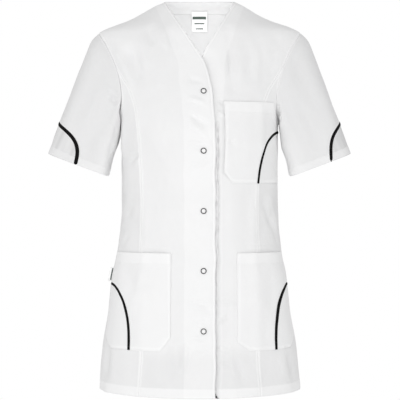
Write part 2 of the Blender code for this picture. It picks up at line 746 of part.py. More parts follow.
def add_pocket(pocket, collection):
    arch_angle, arch_z = pocket_arch(pocket)
    chamfer_angle = angle_at(pocket.chamfer_x, pocket.bottom)
    bottom = np.linspace(chamfer_angle, arch_angle[0], POCKET_BOTTOM_COLUMNS + 1)
    inner = float(angle_at(pocket.inner_x, pocket.chamfer_z))
    foot_angle = np.concatenate([[inner], bottom[:-1], arch_angle])
    foot_z = np.concatenate([[pocket.chamfer_z], np.full(len(bottom) - 1, pocket.bottom), arch_z])
    head_inner = float(angle_at(pocket.inner_x, pocket.top))
    steps = np.linalg.norm(np.diff(base_point(foot_angle, foot_z), axis=0), axis=-1)
    along_foot = np.concatenate([[0], np.cumsum(steps)])
    spread = np.minimum((foot_angle - inner) / (foot_angle[-1] - inner), along_foot / along_foot[-1])
    head_angle = head_inner + (foot_angle[-1] - head_inner) * spread
    head_z = pocket_top_z(pocket, head_angle)
    up = np.linspace(0, 1, POCKET_ROWS + 1)[:, None]
    z = foot_z + (head_z - foot_z) * up
    angle = foot_angle + (head_angle - foot_angle) * up
    pocket_wall(f"pocket_{pocket.name}", pocket, angle, z, collection)


def add_pocket_insert(pocket, collection):
    angle, top = pocket_arch(pocket, inset=SEAM_GAP)
    angle[0] = (angle[0] + angle[1]) / 2
    top[0] = (top[0] + top[1]) / 2
    up = np.linspace(0, 1, POCKET_ROWS - 1)[:, None]
    foot = pocket_foot_z(pocket, angle)
    z = foot + (top - foot) * up
    pocket_wall(f"pocket_{pocket.name}_insert", pocket, np.broadcast_to(angle, z.shape), z, collection)


def add_pocket_piping(pocket, collection):
    angle, z = pocket_arch(pocket)
    lift = pocket_lift(pocket, angle, z) + CLOTH
    path = cloth_point(pocket.side * angle, z, lift)
    normal = base_normal(pocket.side * angle, z)
    add_piping(f"pocket_{pocket.name}_piping", path, normal, collection)


# ---------------------------------------------------------------- body panels and facings


def add_front(side, word, collection):
    angle, z = front_rows(side)
    lift = lap_lift(side, angle, z)
    shared = mitre_normals()[0]
    count = len(z)
    mitred = [(count - 1 - k, -1, mirrored(shared[k], side)) for k in range(PRINCESS_STEP)]
    body_wall(f"front_{word}", angle, z, lift, hem_thickness(z), collection, CLOTH_LOOK, mitred)
    # The facing lies behind the panel on the panel's own points, and ends in the hem's fold.
    behind = slice(2, None), slice(0, FACING_COLUMNS + 1)
    facing_lift = lift[behind] - CLOTH - LAYER_GAP
    body_wall(
        f"facing_{word}", angle[behind], z[behind], facing_lift, FACING_CLOTH, collection, CLOTH_LOOK
    )


def add_side_front(side, word, collection):
    angle, z = side_front_rows(side)
    shared = mitre_normals()[0]
    top = len(z) - 1
    mitred = [
        (top - (k - PRINCESS_STEP), -1, mirrored(shared[k], side))
        for k in range(PRINCESS_STEP + 1, ARMHOLE_STEPS)
    ]
    body_wall(f"front_side_{word}", angle, z, 0.0, hem_thickness(z), collection, CLOTH_LOOK, mitred)


def add_back(collection):
    angle, z = back_rows()
    shared = mitre_normals()[0][::-1]
    top = len(z) - 1
    mitred = []
    for k in range(ARMHOLE_STEPS):
        mitred.append((top - k, 0, mirrored(shared[k], 1)))
        mitred.append((top - k, -1, mirrored(shared[k], -1)))
    body_wall("back", angle, z, 0.0, hem_thickness(z), collection, CLOTH_LOOK, mitred)
    across = slice(RIDGE_COLUMNS, RIDGE_COLUMNS + 2 * NECK_COLUMNS + 1)
    neck = slice(top - BACK_FACING_ROWS, top + 1), across
    body_wall(
        "facing_back_neck", angle[neck], z[neck], -CLOTH - LAYER_GAP, FACING_CLOTH, collection, CLOTH_LOOK
    )


# ---------------------------------------------------------------- snaps and labels


def add_placed(name, bm, centre, normal, collection, look):
    """Turns a shape modelled about +Z to the normal and sets it at its centre."""
    from_z = np.array([0.0, 0.0, 1.0])
    side = unit(np.cross(from_z, normal))
    up = np.cross(normal, side)
    for vert in bm.verts:
        vert.co = centre + side * vert.co.x + up * vert.co.y + normal * vert.co.z
    return add_object(name, bm, collection, look)


def ring_mesh():
    """An open ring: a small circle turned round the Z axis."""
    bm = bmesh.new()
    circle = bmesh.ops.create_circle(bm, segments=RING_SIDES, radius=SNAP_WIRE)
    for vert in circle["verts"]:
        vert.co = (SNAP_RADIUS + vert.co.x, 0.0, vert.co.y)
    turn = 2 * math.pi
    bmesh.ops.spin(bm, geom=bm.edges[:], cent=(0, 0, 0), axis=(0, 0, 1), angle=turn, steps=RING_STEPS)
    bmesh.ops.remove_doubles(bm, verts=bm.verts, dist=WELD)
    return bm


def disc_mesh(radius, depth):
    bm = bmesh.new()
    bmesh.ops.create_cone(
        bm, cap_ends=True, segments=SOCKET_SIDES, radius1=radius, radius2=radius, depth=depth
    )
    return bm


def add_snaps(collection):
    """Each snap shows an open ring outside, and has its socket in the room between the two fronts."""
    room_top = -CLOTH - LAYER_GAP - FACING_CLOTH - SNAP_CLEARANCE
    room_floor = -LAP_DEPTH + SNAP_CLEARANCE
    for number in range(1, SNAP_COUNT + 1):
        z = np.array(SNAP_TOP_Z - (number - 1) * SNAP_SPACING)
        angle = angle_at(SNAP_X, z)
        normal = base_normal(angle, z)
        centre = cloth_point(angle, z, SNAP_CLEARANCE + SNAP_WIRE)
        add_placed(f"snap_ring_{number}", ring_mesh(), centre, normal, collection, METAL_LOOK)
        socket = disc_mesh(SOCKET_RADIUS, room_top - room_floor)
        centre = cloth_point(angle, z, (room_top + room_floor) / 2)
        add_placed(f"snap_socket_{number}", socket, centre, normal, collection, METAL_LOOK)


def add_labels(collection):
    """A label inside the back neck, behind its facing, and a flag label in the right side seam."""
    z = np.linspace(LABEL_BOTTOM_Z, LABEL_TOP_Z, LABEL_ROWS + 1)
    x = np.linspace(-LABEL_HALF_WIDTH, LABEL_HALF_WIDTH, LABEL_COLUMNS + 1)
    x, z = np.meshgrid(x, z)
    angle = np.mod(back_angle_at(x, z), 2 * math.pi)
    lift = -CLOTH - LAYER_GAP - FACING_CLOTH - LABEL_GAP
    body_wall("neck_label", angle, z, lift, LABEL_CLOTH, collection, LABEL_LOOK)
    width, thick, height = SIDE_LABEL_SIZE
    bm = bmesh.new()
    bmesh.ops.create_cube(bm, size=1.0)
    for vert in bm.verts:
        z = SIDE_LABEL_Z + vert.co.z * height
        seam = float(smooth_value(SECTIONS, "half_width", z))
        out = seam + 2 * LAYER_GAP + (0.5 - vert.co.x) * width
        vert.co = (-out, vert.co.y * thick, z)
    add_object("side_label", bm, collection, LABEL_LOOK)


def main():
    for item in list(bpy.data.objects):
        bpy.data.objects.remove(item, do_unlink=True)
    collection = bpy.data.collections.new(COLLECTION_NAME)
    bpy.context.scene.collection.children.link(collection)
    for side, word in ((-1, "right"), (1, "left")):
        add_front(side, word, collection)
        add_side_front(side, word, collection)
        add_sleeve(side, word, collection)
        add_sleeve_insert(side, word, collection)
        add_sleeve_piping(side, word, collection)
    add_back(collection)
    for pocket in POCKETS:
        add_pocket(pocket, collection)
        add_pocket_insert(pocket, collection)
        add_pocket_piping(pocket, collection)
    add_snaps(collection)
    add_labels(collection)


main()
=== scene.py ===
# %% [markdown]
# # A medical tunic in white cloth
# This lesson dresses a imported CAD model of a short-sleeved medical tunic. The model already has every cut
# piece in its place, filled out as if worn, so the lesson never measures or fits anything: it makes a finer
# surface on the same form, with folds, seams, stitches and cloth. Lengths are in metres, and the tables give
# angles in degrees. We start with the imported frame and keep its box.

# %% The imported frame
import math
from collections import namedtuple

import bmesh
import bpy
import numpy as np
from mathutils import Matrix, Vector, noise


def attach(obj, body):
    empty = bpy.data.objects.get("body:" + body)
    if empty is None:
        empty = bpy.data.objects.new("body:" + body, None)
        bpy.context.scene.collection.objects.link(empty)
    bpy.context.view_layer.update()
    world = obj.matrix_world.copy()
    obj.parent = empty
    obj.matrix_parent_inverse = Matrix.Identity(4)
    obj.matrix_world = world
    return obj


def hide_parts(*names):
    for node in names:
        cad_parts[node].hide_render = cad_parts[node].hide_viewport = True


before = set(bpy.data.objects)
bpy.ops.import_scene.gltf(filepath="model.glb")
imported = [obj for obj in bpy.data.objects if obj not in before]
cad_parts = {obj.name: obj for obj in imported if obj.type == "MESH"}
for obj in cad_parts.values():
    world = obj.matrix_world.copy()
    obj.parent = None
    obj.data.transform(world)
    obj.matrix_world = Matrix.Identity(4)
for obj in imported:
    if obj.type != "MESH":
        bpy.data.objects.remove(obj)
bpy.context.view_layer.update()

scene = bpy.context.scene

# %% [markdown]
# ## Camera
# The tunic was photographed level, straight from the front, so the camera looks along +Y at the height of
# the middle of the tunic. One pixel of the picture is 1.96 mm wide at the plane through the shoulders. The
# lens follows from that scale, the distance and Blender's 36 mm sensor.

# %% Camera
PICTURE_PIXELS = 400
METRES_PER_PIXEL = 0.00196
CAMERA_DISTANCE = 3.0
CAMERA_X = 0.001
CAMERA_Z = -0.388
SENSOR = 36.0


def linked(name, data):
    """A new object in the scene."""
    made = bpy.data.objects.new(name, data)
    scene.collection.objects.link(made)
    return made


camera_data = bpy.data.cameras.new("camera")
camera_data.sensor_width = SENSOR
camera_data.lens = SENSOR * CAMERA_DISTANCE / (PICTURE_PIXELS * METRES_PER_PIXEL)
camera = linked("camera", camera_data)
camera.location = (CAMERA_X, -CAMERA_DISTANCE, CAMERA_Z)
camera.rotation_euler = (math.pi / 2, 0, 0)
scene.camera = camera
print("lens in millimetres:", round(camera_data.lens, 1))

# %% [markdown]
# ## Shader maths
# A material is a little program of nodes. Wiring them by hand hides the arithmetic, so this class wraps one
# output socket: adding or multiplying two of them adds a Math node and gives back its output. Every other
# node comes from `node`, which takes its type, its settings and the values or links of its inputs.

# %% One socket as a number
# A Mix node of colours has these sockets, by their place in its lists.
MIX_FACTOR = 0
MIX_FIRST = 6
MIX_SECOND = 7
MIX_RESULT = 2


class Field:
    """One output socket of a material's node tree, with Python's arithmetic."""

    def __init__(self, tree, socket):
        self.tree = tree
        self.socket = socket

    def node(self, kind, inputs=(), output=0, **settings):
        made = self.tree.nodes.new(kind)
        for name, value in settings.items():
            setattr(made, name, value)
        for key, value in dict(inputs).items():
            if isinstance(value, Field):
                self.tree.links.new(value.socket, made.inputs[key])
            else:
                made.inputs[key].default_value = value
        return Field(self.tree, made.outputs[output])

    def math(self, operation, *values):
        return self.node("ShaderNodeMath", enumerate(values), operation=operation)

    def __add__(self, other):
        return self.math("ADD", self, other)

    def __mul__(self, other):
        return self.math("MULTIPLY", self, other)

    __radd__ = __add__
    __rmul__ = __mul__

    def __sub__(self, other):
        return self.math("SUBTRACT", self, other)

    def __rsub__(self, other):
        return self.math("SUBTRACT", other, self)

    def __rpow__(self, other):
        return self.math("POWER", other, self)

    def sine(self):
        return self.math("SINE", self)

    def mixed(self, first, second):
        """The first colour where this field is 0, the second where it is 1."""
        inputs = {MIX_FACTOR: self, MIX_FIRST: first, MIX_SECOND: second}
        return self.node("ShaderNodeMix", inputs, output=MIX_RESULT, data_type="RGBA")

    def bump(self, strength):
        """A normal tilted by this field, as a height in metres."""
        return self.node("ShaderNodeBump", {"Strength": strength, "Distance": 1.0, "Height": self})


# %% Materials and their patterns
def new_material(name):
    """A material, its Principled shader and a Field to start expressions from."""
    material = bpy.data.materials.new(name)
    material.use_nodes = True
    tree = material.node_tree
    shader = tree.nodes["Principled BSDF"]
    return material, shader, Field(tree, shader.outputs[0])


def cloud(start, scale, detail, roughness=0.5):
    """Soft noise from 0 to 1 that stays on the piece."""
    place = start.node("ShaderNodeTexCoord", output="Object")
    inputs = {"Vector": place, "Scale": scale, "Detail": detail, "Roughness": roughness}
    return start.node("ShaderNodeTexNoise", inputs)


def cut_lengths(start):
    """The two lengths of the piece's own UV map, in metres."""
    uv = start.node("ShaderNodeUVMap", uv_map="cut")
    return [start.node("ShaderNodeSeparateXYZ", {"Vector": uv}, output=axis) for axis in "XY"]


def feed(shader, values):
    """Gives each of the shader's sockets its number, colour or Field."""
    for name, value in values.items():
        if isinstance(value, Field):
            value.tree.links.new(value.socket, shader.inputs[name])
        else:
            shader.inputs[name].default_value = value


def grey(level, blue=0.0):
    return (level, level, level + blue, 1)


# %% [markdown]
# ## Floor and light
# A studio for white cloth: everything behind is white. One big soft lamp stands in front, a little to the
# left, two weaker ones at the sides, and one behind. The garment's sides turn away from the front lamp and
# fall darker, which is what draws its outline. A very small lamp hangs inside, below the V and out of the
# camera's sight, as photographers do to keep the inside of a collar white. The world shows the camera plain
# white but lights the cloth less. The floor lies where a wearer's feet would be.

# %% Floor
FLOOR_Z = -1.45
FLOOR_RADIUS = 3.0
FLOOR_SIDES = 96


def mesh_of(bm, name):
    """A mesh with the bmesh's shape. The bmesh isn't needed after that, so it is freed."""
    mesh = bpy.data.meshes.new(name)
    bm.to_mesh(mesh)
    bm.free()
    return mesh


bm = bmesh.new()
bmesh.ops.create_circle(bm, cap_ends=True, segments=FLOOR_SIDES, radius=FLOOR_RADIUS)
bmesh.ops.translate(bm, verts=bm.verts, vec=(0, 0, FLOOR_Z))
floor = linked("floor", mesh_of(bm, "floor"))
floor_material, shader, start = new_material("pale_floor")
patches = cloud(start, scale=1.5, detail=3.0)
feed(shader, {"Base Color": patches.mixed(grey(0.80), grey(0.85)), "Roughness": 0.7})
floor.data.materials.append(floor_material)
print("floor at", FLOOR_Z)

# %% World and lamps
AMBIENT = 0.70
Lamp = namedtuple("Lamp", "name x y z size power aim_y aim_z")
LAMPS = (
    Lamp("key_front", -0.4, -2.7, -0.10, 2.2, 20, 0, CAMERA_Z),
    Lamp("side_right", -1.9, -1.4, -0.40, 1.6, 7.0, 0, CAMERA_Z),
    Lamp("side_left", 1.9, -1.4, -0.50, 1.6, 7.0, 0, CAMERA_Z),
    Lamp("back_soft", 0.4, 2.8, 0.10, 2.0, 14, 0, CAMERA_Z),
    Lamp("inside_collar", 0.0, -0.040, -0.140, 0.04, 0.142, 0.070, -0.065),
)

world = bpy.data.worlds.new("studio")
world.use_nodes = True
scene.world = world
background = world.node_tree.nodes["Background"]
background.inputs["Color"].default_value = grey(1)
outlook = Field(world.node_tree, background.outputs[0])
seen = outlook.node("ShaderNodeLightPath", output="Is Camera Ray")
strength = outlook.node("ShaderNodeMapRange", {"Value": seen, "To Min": AMBIENT, "To Max": 1.0})
world.node_tree.links.new(strength.socket, background.inputs["Strength"])
for lamp in LAMPS:
    light_data = bpy.data.lights.new(lamp.name, "AREA")
    light_data.shape = "DISK"
    light_data.size = lamp.size
    light_data.energy = lamp.power
    light = linked(lamp.name, light_data)
    light.location = (lamp.x, lamp.y, lamp.z)
    aim = Vector((0, lamp.aim_y, lamp.aim_z)) - light.location
    light.rotation_euler = aim.to_track_quat("-Z", "Y").to_euler()
scene.view_settings.view_transform = "Standard"
print("lamps:", [lamp.name for lamp in LAMPS])

# %% [markdown]
# ## The form of the tunic
# Every piece of the body lies on one surface. A point of it is an angle round the body and a height: angle
# 0 is the middle of the front, 90 degrees the wearer's left side. At each height the ring is a squared
# ellipse whose sizes come from a short table, joined smoothly from row to row. The tables are the cutter's
# measurements, and they are the same ones that the CAD model is built from.

# %% Measurements of the body
HEM_Z = -0.760
HEM_BAND = 0.018
SHOULDER_POINT_Z = -0.0625
UNDERARM_Z = -0.2375
BACK_NECK_Z = 0.0080
BACK_RISE_POWER = 0.76
FRONT_SCOOP = 0.020
BACK_SCOOP = 0.013
SEAM_GAP = 0.00004
SMALL_STEP = 1e-4

Section = namedtuple("Section", "z half_width front_depth back_depth squareness")
SECTIONS = (
    Section(0.0120, 0.0600, 0.018, 0.060, 2.00),
    Section(0.0000, 0.0690, 0.022, 0.066, 2.00),
    Section(-0.0080, 0.0850, 0.030, 0.072, 2.00),
    Section(-0.0156, 0.0978, 0.036, 0.076, 2.05),
    Section(-0.0350, 0.1338, 0.053, 0.084, 2.10),
    Section(-0.0625, 0.1970, 0.073, 0.095, 2.20),
    Section(-0.0800, 0.2030, 0.081, 0.100, 2.20),
    Section(-0.1100, 0.1960, 0.093, 0.107, 2.25),
    Section(-0.1400, 0.1870, 0.105, 0.113, 2.30),
    Section(-0.1900, 0.1700, 0.123, 0.121, 2.35),
    Section(-0.2375, 0.1530, 0.136, 0.125, 2.40),
    Section(-0.2700, 0.1520, 0.139, 0.124, 2.40),
    Section(-0.3400, 0.1520, 0.134, 0.115, 2.35),
    Section(-0.4200, 0.1530, 0.122, 0.104, 2.25),
    Section(-0.4860, 0.1600, 0.122, 0.108, 2.25),
    Section(-0.5450, 0.1715, 0.126, 0.121, 2.25),
    Section(-0.6040, 0.1780, 0.131, 0.133, 2.30),
    Section(-0.6820, 0.1910, 0.137, 0.141, 2.20),
    Section(-0.7600, 0.1970, 0.142, 0.145, 2.05),
    Section(-0.8000, 0.2000, 0.144, 0.147, 2.05),
)

FrontEdge = namedtuple("FrontEdge", "z right_x left_x")
FRONT_EDGES = (
    FrontEdge(0.000, -0.0690, 0.0690),
    FrontEdge(-0.057, -0.0330, 0.0365),
    FrontEdge(-0.114, 0.0029, 0.0040),
    FrontEdge(-0.127, 0.0104, -0.0028),
    FrontEdge(-0.152, 0.0179, -0.0094),
    FrontEdge(-0.181, 0.0235, -0.0141),
    FrontEdge(-0.238, 0.0291, -0.0155),
    FrontEdge(-0.270, 0.0300, -0.0157),
    FrontEdge(-0.760, 0.0300, -0.0157),
)

SeamPoint = namedtuple("SeamPoint", "z x")
PRINCESS_SEAM = (
    SeamPoint(-0.153, 0.1480),
    SeamPoint(-0.168, 0.1385),
    SeamPoint(-0.190, 0.1283),
    SeamPoint(-0.227, 0.1184),
    SeamPoint(-0.293, 0.1120),
    SeamPoint(-0.388, 0.1085),
    SeamPoint(-0.483, 0.1110),
    SeamPoint(-0.676, 0.1090),
    SeamPoint(-0.760, 0.1150),
)

FacingWidth = namedtuple("FacingWidth", "z width")
FACING_WIDTHS = (
    FacingWidth(0.000, 0.018),
    FacingWidth(-0.114, 0.042),
    FacingWidth(-0.170, 0.059),
    FacingWidth(-0.760, 0.059),
)
print("the body is measured at", len(SECTIONS), "heights")

# %% Reading the tables
def column(table, name):
    """One named column of a table, with the lowest row first."""
    rows = sorted(table, key=lambda row: row.z)
    return np.array([getattr(row, name) for row in rows])


def smooth_value(table, name, z):
    """The column's value at each height: a monotone cubic through the table's rows."""
    knots = column(table, "z")
    values = column(table, name)
    step = np.diff(knots)
    slope = np.diff(values) / step
    tangent = np.zeros(len(values))
    both = slope[:-1] * slope[1:]
    mean = 2 * both / np.where(both > 0, slope[:-1] + slope[1:], 1)
    tangent[1:-1] = np.where(both > 0, mean, 0)
    tangent[0] = slope[0]
    tangent[-1] = slope[-1]
    z = np.clip(z, knots[0], knots[-1])
    i = np.clip(np.searchsorted(knots, z) - 1, 0, len(step) - 1)
    t = (z - knots[i]) / step[i]
    start = (1 + 2 * t) * (1 - t) ** 2 * values[i] + t * (1 - t) ** 2 * step[i] * tangent[i]
    end = t**2 * (3 - 2 * t) * values[i + 1] - t**2 * (1 - t) * step[i] * tangent[i + 1]
    return start + end


def smoothstep(value):
    value = np.clip(value, 0, 1)
    return value * value * (3 - 2 * value)


def bell(value):
    """1 at nought, falling softly to 0 on both sides."""
    return np.exp(-(value**2))


def mirrored(vectors, side):
    """The left side's points or directions, or their mirror image for the right side."""
    return vectors * np.array([side, 1, 1])


print("half width at the waist:", round(float(smooth_value(SECTIONS, "half_width", -0.38)), 4))

# %% The body surface
RING_POINTS = 181


def base_point(angle, z):
    """The body's ring at each height: a squared ellipse with its own depth in front and behind."""
    a = smooth_value(SECTIONS, "half_width", z)
    front = smooth_value(SECTIONS, "front_depth", z)
    back = smooth_value(SECTIONS, "back_depth", z)
    n = smooth_value(SECTIONS, "squareness", z)
    depth = np.where(np.cos(angle) > 0, front, back)
    radius = ((abs(np.sin(angle)) / a) ** n + (abs(np.cos(angle)) / depth) ** n) ** (-1 / n)
    return np.stack([radius * np.sin(angle), -radius * np.cos(angle), z], axis=-1)


def unit(vectors):
    return vectors / np.linalg.norm(vectors, axis=-1, keepdims=True)


def base_normal(angle, z):
    across = base_point(angle + SMALL_STEP, z) - base_point(angle - SMALL_STEP, z)
    up = base_point(angle, z + SMALL_STEP) - base_point(angle, z - SMALL_STEP)
    return unit(np.cross(across, up))


def angle_at(x, z, depth="front_depth"):
    """The angle of the front (or back) surface's point with this x."""
    a = smooth_value(SECTIONS, "half_width", z)
    deep = smooth_value(SECTIONS, depth, z)
    n = smooth_value(SECTIONS, "squareness", z)
    share = np.clip(abs(x) / a, 0, 1)
    forward = deep * (1 - share**n) ** (1 / n)
    return np.arctan2(x, forward if depth == "front_depth" else -forward)


def angle_of(length, angle, z):
    """A short length along the ring, as an angle."""
    return length / np.linalg.norm(base_point(angle, z)[..., :2], axis=-1)


ring = base_point(np.linspace(0, 2 * math.pi, RING_POINTS), np.full(RING_POINTS, HEM_Z))
print("round the hem:", round(float(np.linalg.norm(np.diff(ring, axis=0), axis=1).sum()), 3), "m")

# %% [markdown]
# ## Folds
# Worn cloth is never smooth: it drops from the shoulders in long soft ridges, pulls in diagonals at the
# waist and ripples along the snaps, where two layers of different length are held together. Each fold here
# is a line on the body with a width and a height. A simulation would give folds too, but not these ones,
# and a cut as close as this one hangs almost flat, so folds listed one by one look better. Most of the
# broad folds are in the CAD model too, some of them deeper. The fine ones are only here.

# %% The broad folds
FOLD_REACH = 0.15
Fold = namedtuple("Fold", "name angle_1 z_1 angle_2 z_2 half_width height")
FOLDS = (
    Fold("left_chest_inner", 38, -0.060, 27, -0.175, 0.013, -0.0018),
    Fold("left_chest_outer", 52, -0.075, 42, -0.165, 0.014, 0.0014),
    Fold("underarm_swell_left", 72, -0.205, 73, -0.285, 0.017, 0.0010),
    Fold("underarm_swell_right", -72, -0.205, -73, -0.285, 0.017, 0.0045),
    Fold("princess_ridge_left", 50, -0.215, 43, -0.740, 0.011, 0.0022),
    Fold("princess_ridge_right", -50, -0.215, -43, -0.740, 0.011, 0.0018),
    Fold("right_chest", -44, -0.065, -36, -0.165, 0.015, 0.0025),
    Fold("left_waist", 80, -0.388, 52, -0.452, 0.013, -0.0014),
    Fold("left_waist_low", 84, -0.415, 58, -0.470, 0.012, 0.0006),
    Fold("right_waist", -80, -0.370, -54, -0.450, 0.014, -0.0015),
    Fold("left_hem", 70, -0.690, 78, -0.760, 0.014, -0.0028),
    Fold("right_hem", -74, -0.690, -82, -0.760, 0.014, -0.0035),
    Fold("right_skirt", -22, -0.690, -18, -0.760, 0.016, -0.0025),
    Fold("back_left_flute", 138, -0.500, 132, -0.760, 0.022, -0.0050),
    Fold("back_right_flute", -136, -0.480, -130, -0.760, 0.022, -0.0050),
    Fold("back_middle_flute", 178, -0.520, 184, -0.760, 0.024, 0.0045),
    Fold("back_left_blade", 118, -0.215, 150, -0.330, 0.018, -0.0040),
    Fold("back_right_blade", -116, -0.220, -152, -0.340, 0.018, -0.0040),
    Fold("back_waist_left", 112, -0.400, 150, -0.435, 0.014, 0.0035),
    Fold("back_waist_right", -110, -0.410, -148, -0.445, 0.014, 0.0035),
)
print(len(FOLDS), "broad folds")

# %% The fine creases, as seen from the front or from behind
Crease = namedtuple("Crease", "name x_1 z_1 x_2 z_2 half_width height")
FRONT_CREASES = (
    Crease("shoulder_dip_right", -0.091, -0.046, -0.087, -0.098, 0.007, -0.0020),
    Crease("shoulder_ridge_right", -0.065, -0.057, -0.059, -0.106, 0.006, 0.0014),
    Crease("yoke_pull_right", -0.134, -0.080, -0.110, -0.162, 0.009, -0.0016),
    Crease("upper_chest_right", -0.114, -0.068, -0.099, -0.151, 0.008, 0.0012),
    Crease("collar_dip_left", 0.0545, -0.090, 0.0560, -0.160, 0.003, -0.0014),
    Crease("collar_ridge_left", 0.073, -0.068, 0.073, -0.185, 0.009, 0.0011),
    Crease("chest_dip_left", 0.092, -0.078, 0.093, -0.174, 0.007, -0.0008),
    Crease("chest_ridge_left", 0.106, -0.080, 0.108, -0.177, 0.007, 0.0005),
    Crease("chest_dip_outer_left", 0.123, -0.095, 0.117, -0.185, 0.007, -0.0006),
    Crease("shoulder_pull_left", 0.155, -0.068, 0.133, -0.110, 0.006, -0.0008),
    Crease("placket_wave_1", -0.025, -0.159, 0.010, -0.166, 0.004, -0.0012),
    Crease("placket_wave_2", -0.024, -0.194, 0.016, -0.208, 0.004, 0.0012),
    Crease("placket_wave_3", -0.024, -0.224, 0.022, -0.253, 0.005, -0.0016),
    Crease("placket_wave_4", -0.022, -0.239, 0.020, -0.273, 0.005, 0.0014),
    Crease("placket_wave_5", -0.025, -0.281, 0.018, -0.288, 0.004, -0.0010),
    Crease("placket_wave_6", -0.024, -0.328, 0.022, -0.313, 0.004, 0.0010),
    Crease("under_placket_wave_1", 0.033, -0.196, 0.048, -0.211, 0.003, -0.0012),
    Crease("under_placket_wave_2", 0.033, -0.219, 0.050, -0.232, 0.003, 0.0012),
    Crease("bust_tuck_right", -0.112, -0.300, -0.133, -0.317, 0.0035, -0.0020),
    Crease("bust_tuck_low_right", -0.110, -0.309, -0.129, -0.328, 0.004, 0.0012),
    Crease("pocket_dent_chest", 0.055, -0.275, 0.069, -0.286, 0.005, -0.0010),
    Crease("side_pull_left_1", 0.117, -0.373, 0.142, -0.448, 0.006, -0.0014),
    Crease("side_pull_left_2", 0.129, -0.369, 0.150, -0.433, 0.005, 0.0010),
    Crease("side_pull_left_3", 0.133, -0.414, 0.153, -0.482, 0.006, -0.0010),
    Crease("side_pull_left_4", 0.140, -0.403, 0.152, -0.459, 0.005, 0.0008),
    Crease("side_pull_right_1", -0.123, -0.380, -0.142, -0.429, 0.006, -0.0012),
    Crease("side_pull_right_2", -0.133, -0.369, -0.149, -0.414, 0.006, 0.0010),
    Crease("side_pull_right_3", -0.134, -0.448, -0.151, -0.482, 0.005, -0.0010),
    Crease("placket_wave_7", -0.022, -0.576, 0.024, -0.591, 0.004, -0.0014),
    Crease("placket_wave_8", -0.024, -0.593, 0.025, -0.606, 0.004, 0.0012),
    Crease("placket_wave_9", -0.018, -0.625, 0.025, -0.617, 0.004, -0.0012),
    Crease("placket_wave_10", -0.022, -0.649, 0.024, -0.646, 0.004, 0.0012),
    Crease("placket_wave_11", -0.020, -0.679, 0.025, -0.674, 0.004, -0.0012),
    Crease("under_placket_wave_3", 0.033, -0.576, 0.069, -0.585, 0.004, 0.0012),
    Crease("under_placket_wave_4", 0.033, -0.617, 0.054, -0.606, 0.004, -0.0014),
    Crease("under_placket_wave_5", 0.033, -0.664, 0.059, -0.674, 0.004, 0.0010),
    Crease("under_placket_wave_6", 0.033, -0.693, 0.065, -0.700, 0.004, -0.0012),
    Crease("skirt_dip_right", -0.025, -0.651, -0.033, -0.723, 0.007, -0.0024),
    Crease("skirt_ridge_right", -0.040, -0.632, -0.052, -0.711, 0.009, 0.0014),
    Crease("skirt_dip_left", 0.061, -0.674, 0.087, -0.734, 0.008, -0.0014),
    Crease("side_knot_left", 0.163, -0.662, 0.172, -0.681, 0.004, -0.0013),
    Crease("side_drop_left", 0.168, -0.674, 0.185, -0.741, 0.005, -0.0014),
    Crease("side_drop_ridge_left", 0.155, -0.674, 0.170, -0.738, 0.006, 0.0018),
    Crease("side_drop_right", -0.176, -0.655, -0.183, -0.741, 0.006, -0.0018),
    Crease("side_drop_ridge_right", -0.163, -0.666, -0.168, -0.741, 0.007, 0.0014),
    Crease("armhole_hollow_right", -0.140, -0.085, -0.108, -0.180, 0.012, -0.0030),
    Crease("armhole_roll_right", -0.172, -0.078, -0.122, -0.182, 0.007, 0.0026),
    Crease("armhole_hollow_left", 0.150, -0.098, 0.130, -0.160, 0.009, -0.0012),
    Crease("underarm_hollow_left", 0.146, -0.170, 0.149, -0.238, 0.006, -0.0016),
    Crease("pocket_hollow_right", -0.140, -0.500, -0.116, -0.580, 0.015, -0.0016),
    Crease("pocket_roll_right", -0.108, -0.515, -0.130, -0.600, 0.009, 0.0011),
    Crease("pocket_hollow_left", 0.128, -0.500, 0.140, -0.620, 0.012, -0.0012),
    Crease("mouth_line_right", -0.106, -0.4815, -0.052, -0.4795, 0.0024, 0.0009),
    Crease("mouth_line_left", 0.074, -0.4800, 0.150, -0.4790, 0.0024, 0.0009),
)
BACK_CREASES = (
    Crease("neck_drop_left", 0.052, -0.030, 0.060, -0.118, 0.008, -0.0014),
    Crease("neck_drop_right", -0.048, -0.034, -0.058, -0.126, 0.008, -0.0012),
    Crease("blade_ridge_left", 0.108, -0.090, 0.118, -0.196, 0.009, 0.0016),
    Crease("blade_ridge_right", -0.112, -0.096, -0.116, -0.206, 0.009, 0.0018),
    Crease("armhole_pull_left", 0.146, -0.214, 0.104, -0.262, 0.006, -0.0018),
    Crease("armhole_pull_right", -0.148, -0.208, -0.110, -0.268, 0.006, -0.0016),
    Crease("waist_pull_left_1", 0.142, -0.372, 0.092, -0.408, 0.006, -0.0018),
    Crease("waist_pull_left_2", 0.146, -0.398, 0.086, -0.446, 0.006, 0.0014),
    Crease("waist_pull_left_3", 0.150, -0.440, 0.104, -0.472, 0.006, -0.0014),
    Crease("waist_pull_right_1", -0.140, -0.380, -0.096, -0.424, 0.006, -0.0016),
    Crease("waist_pull_right_2", -0.148, -0.418, -0.098, -0.452, 0.006, 0.0014),
    Crease("small_of_back_1", -0.052, -0.386, 0.048, -0.398, 0.008, -0.0012),
    Crease("small_of_back_2", -0.038, -0.420, 0.058, -0.412, 0.008, 0.0011),
    Crease("small_of_back_3", -0.060, -0.446, 0.022, -0.440, 0.007, -0.0010),
    Crease("seat_dip_left", 0.060, -0.560, 0.068, -0.752, 0.010, -0.0016),
    Crease("seat_dip_right", -0.054, -0.548, -0.064, -0.752, 0.010, -0.0018),
)
print(len(FRONT_CREASES), "creases in front and", len(BACK_CREASES), "behind")

# %% Heights of folds and creases
CREASE_FADE = 0.35
CREASE_DEPTH = 2.0
LINE_REACH = 3
TURNS = (-2 * math.pi, 0, 2 * math.pi)


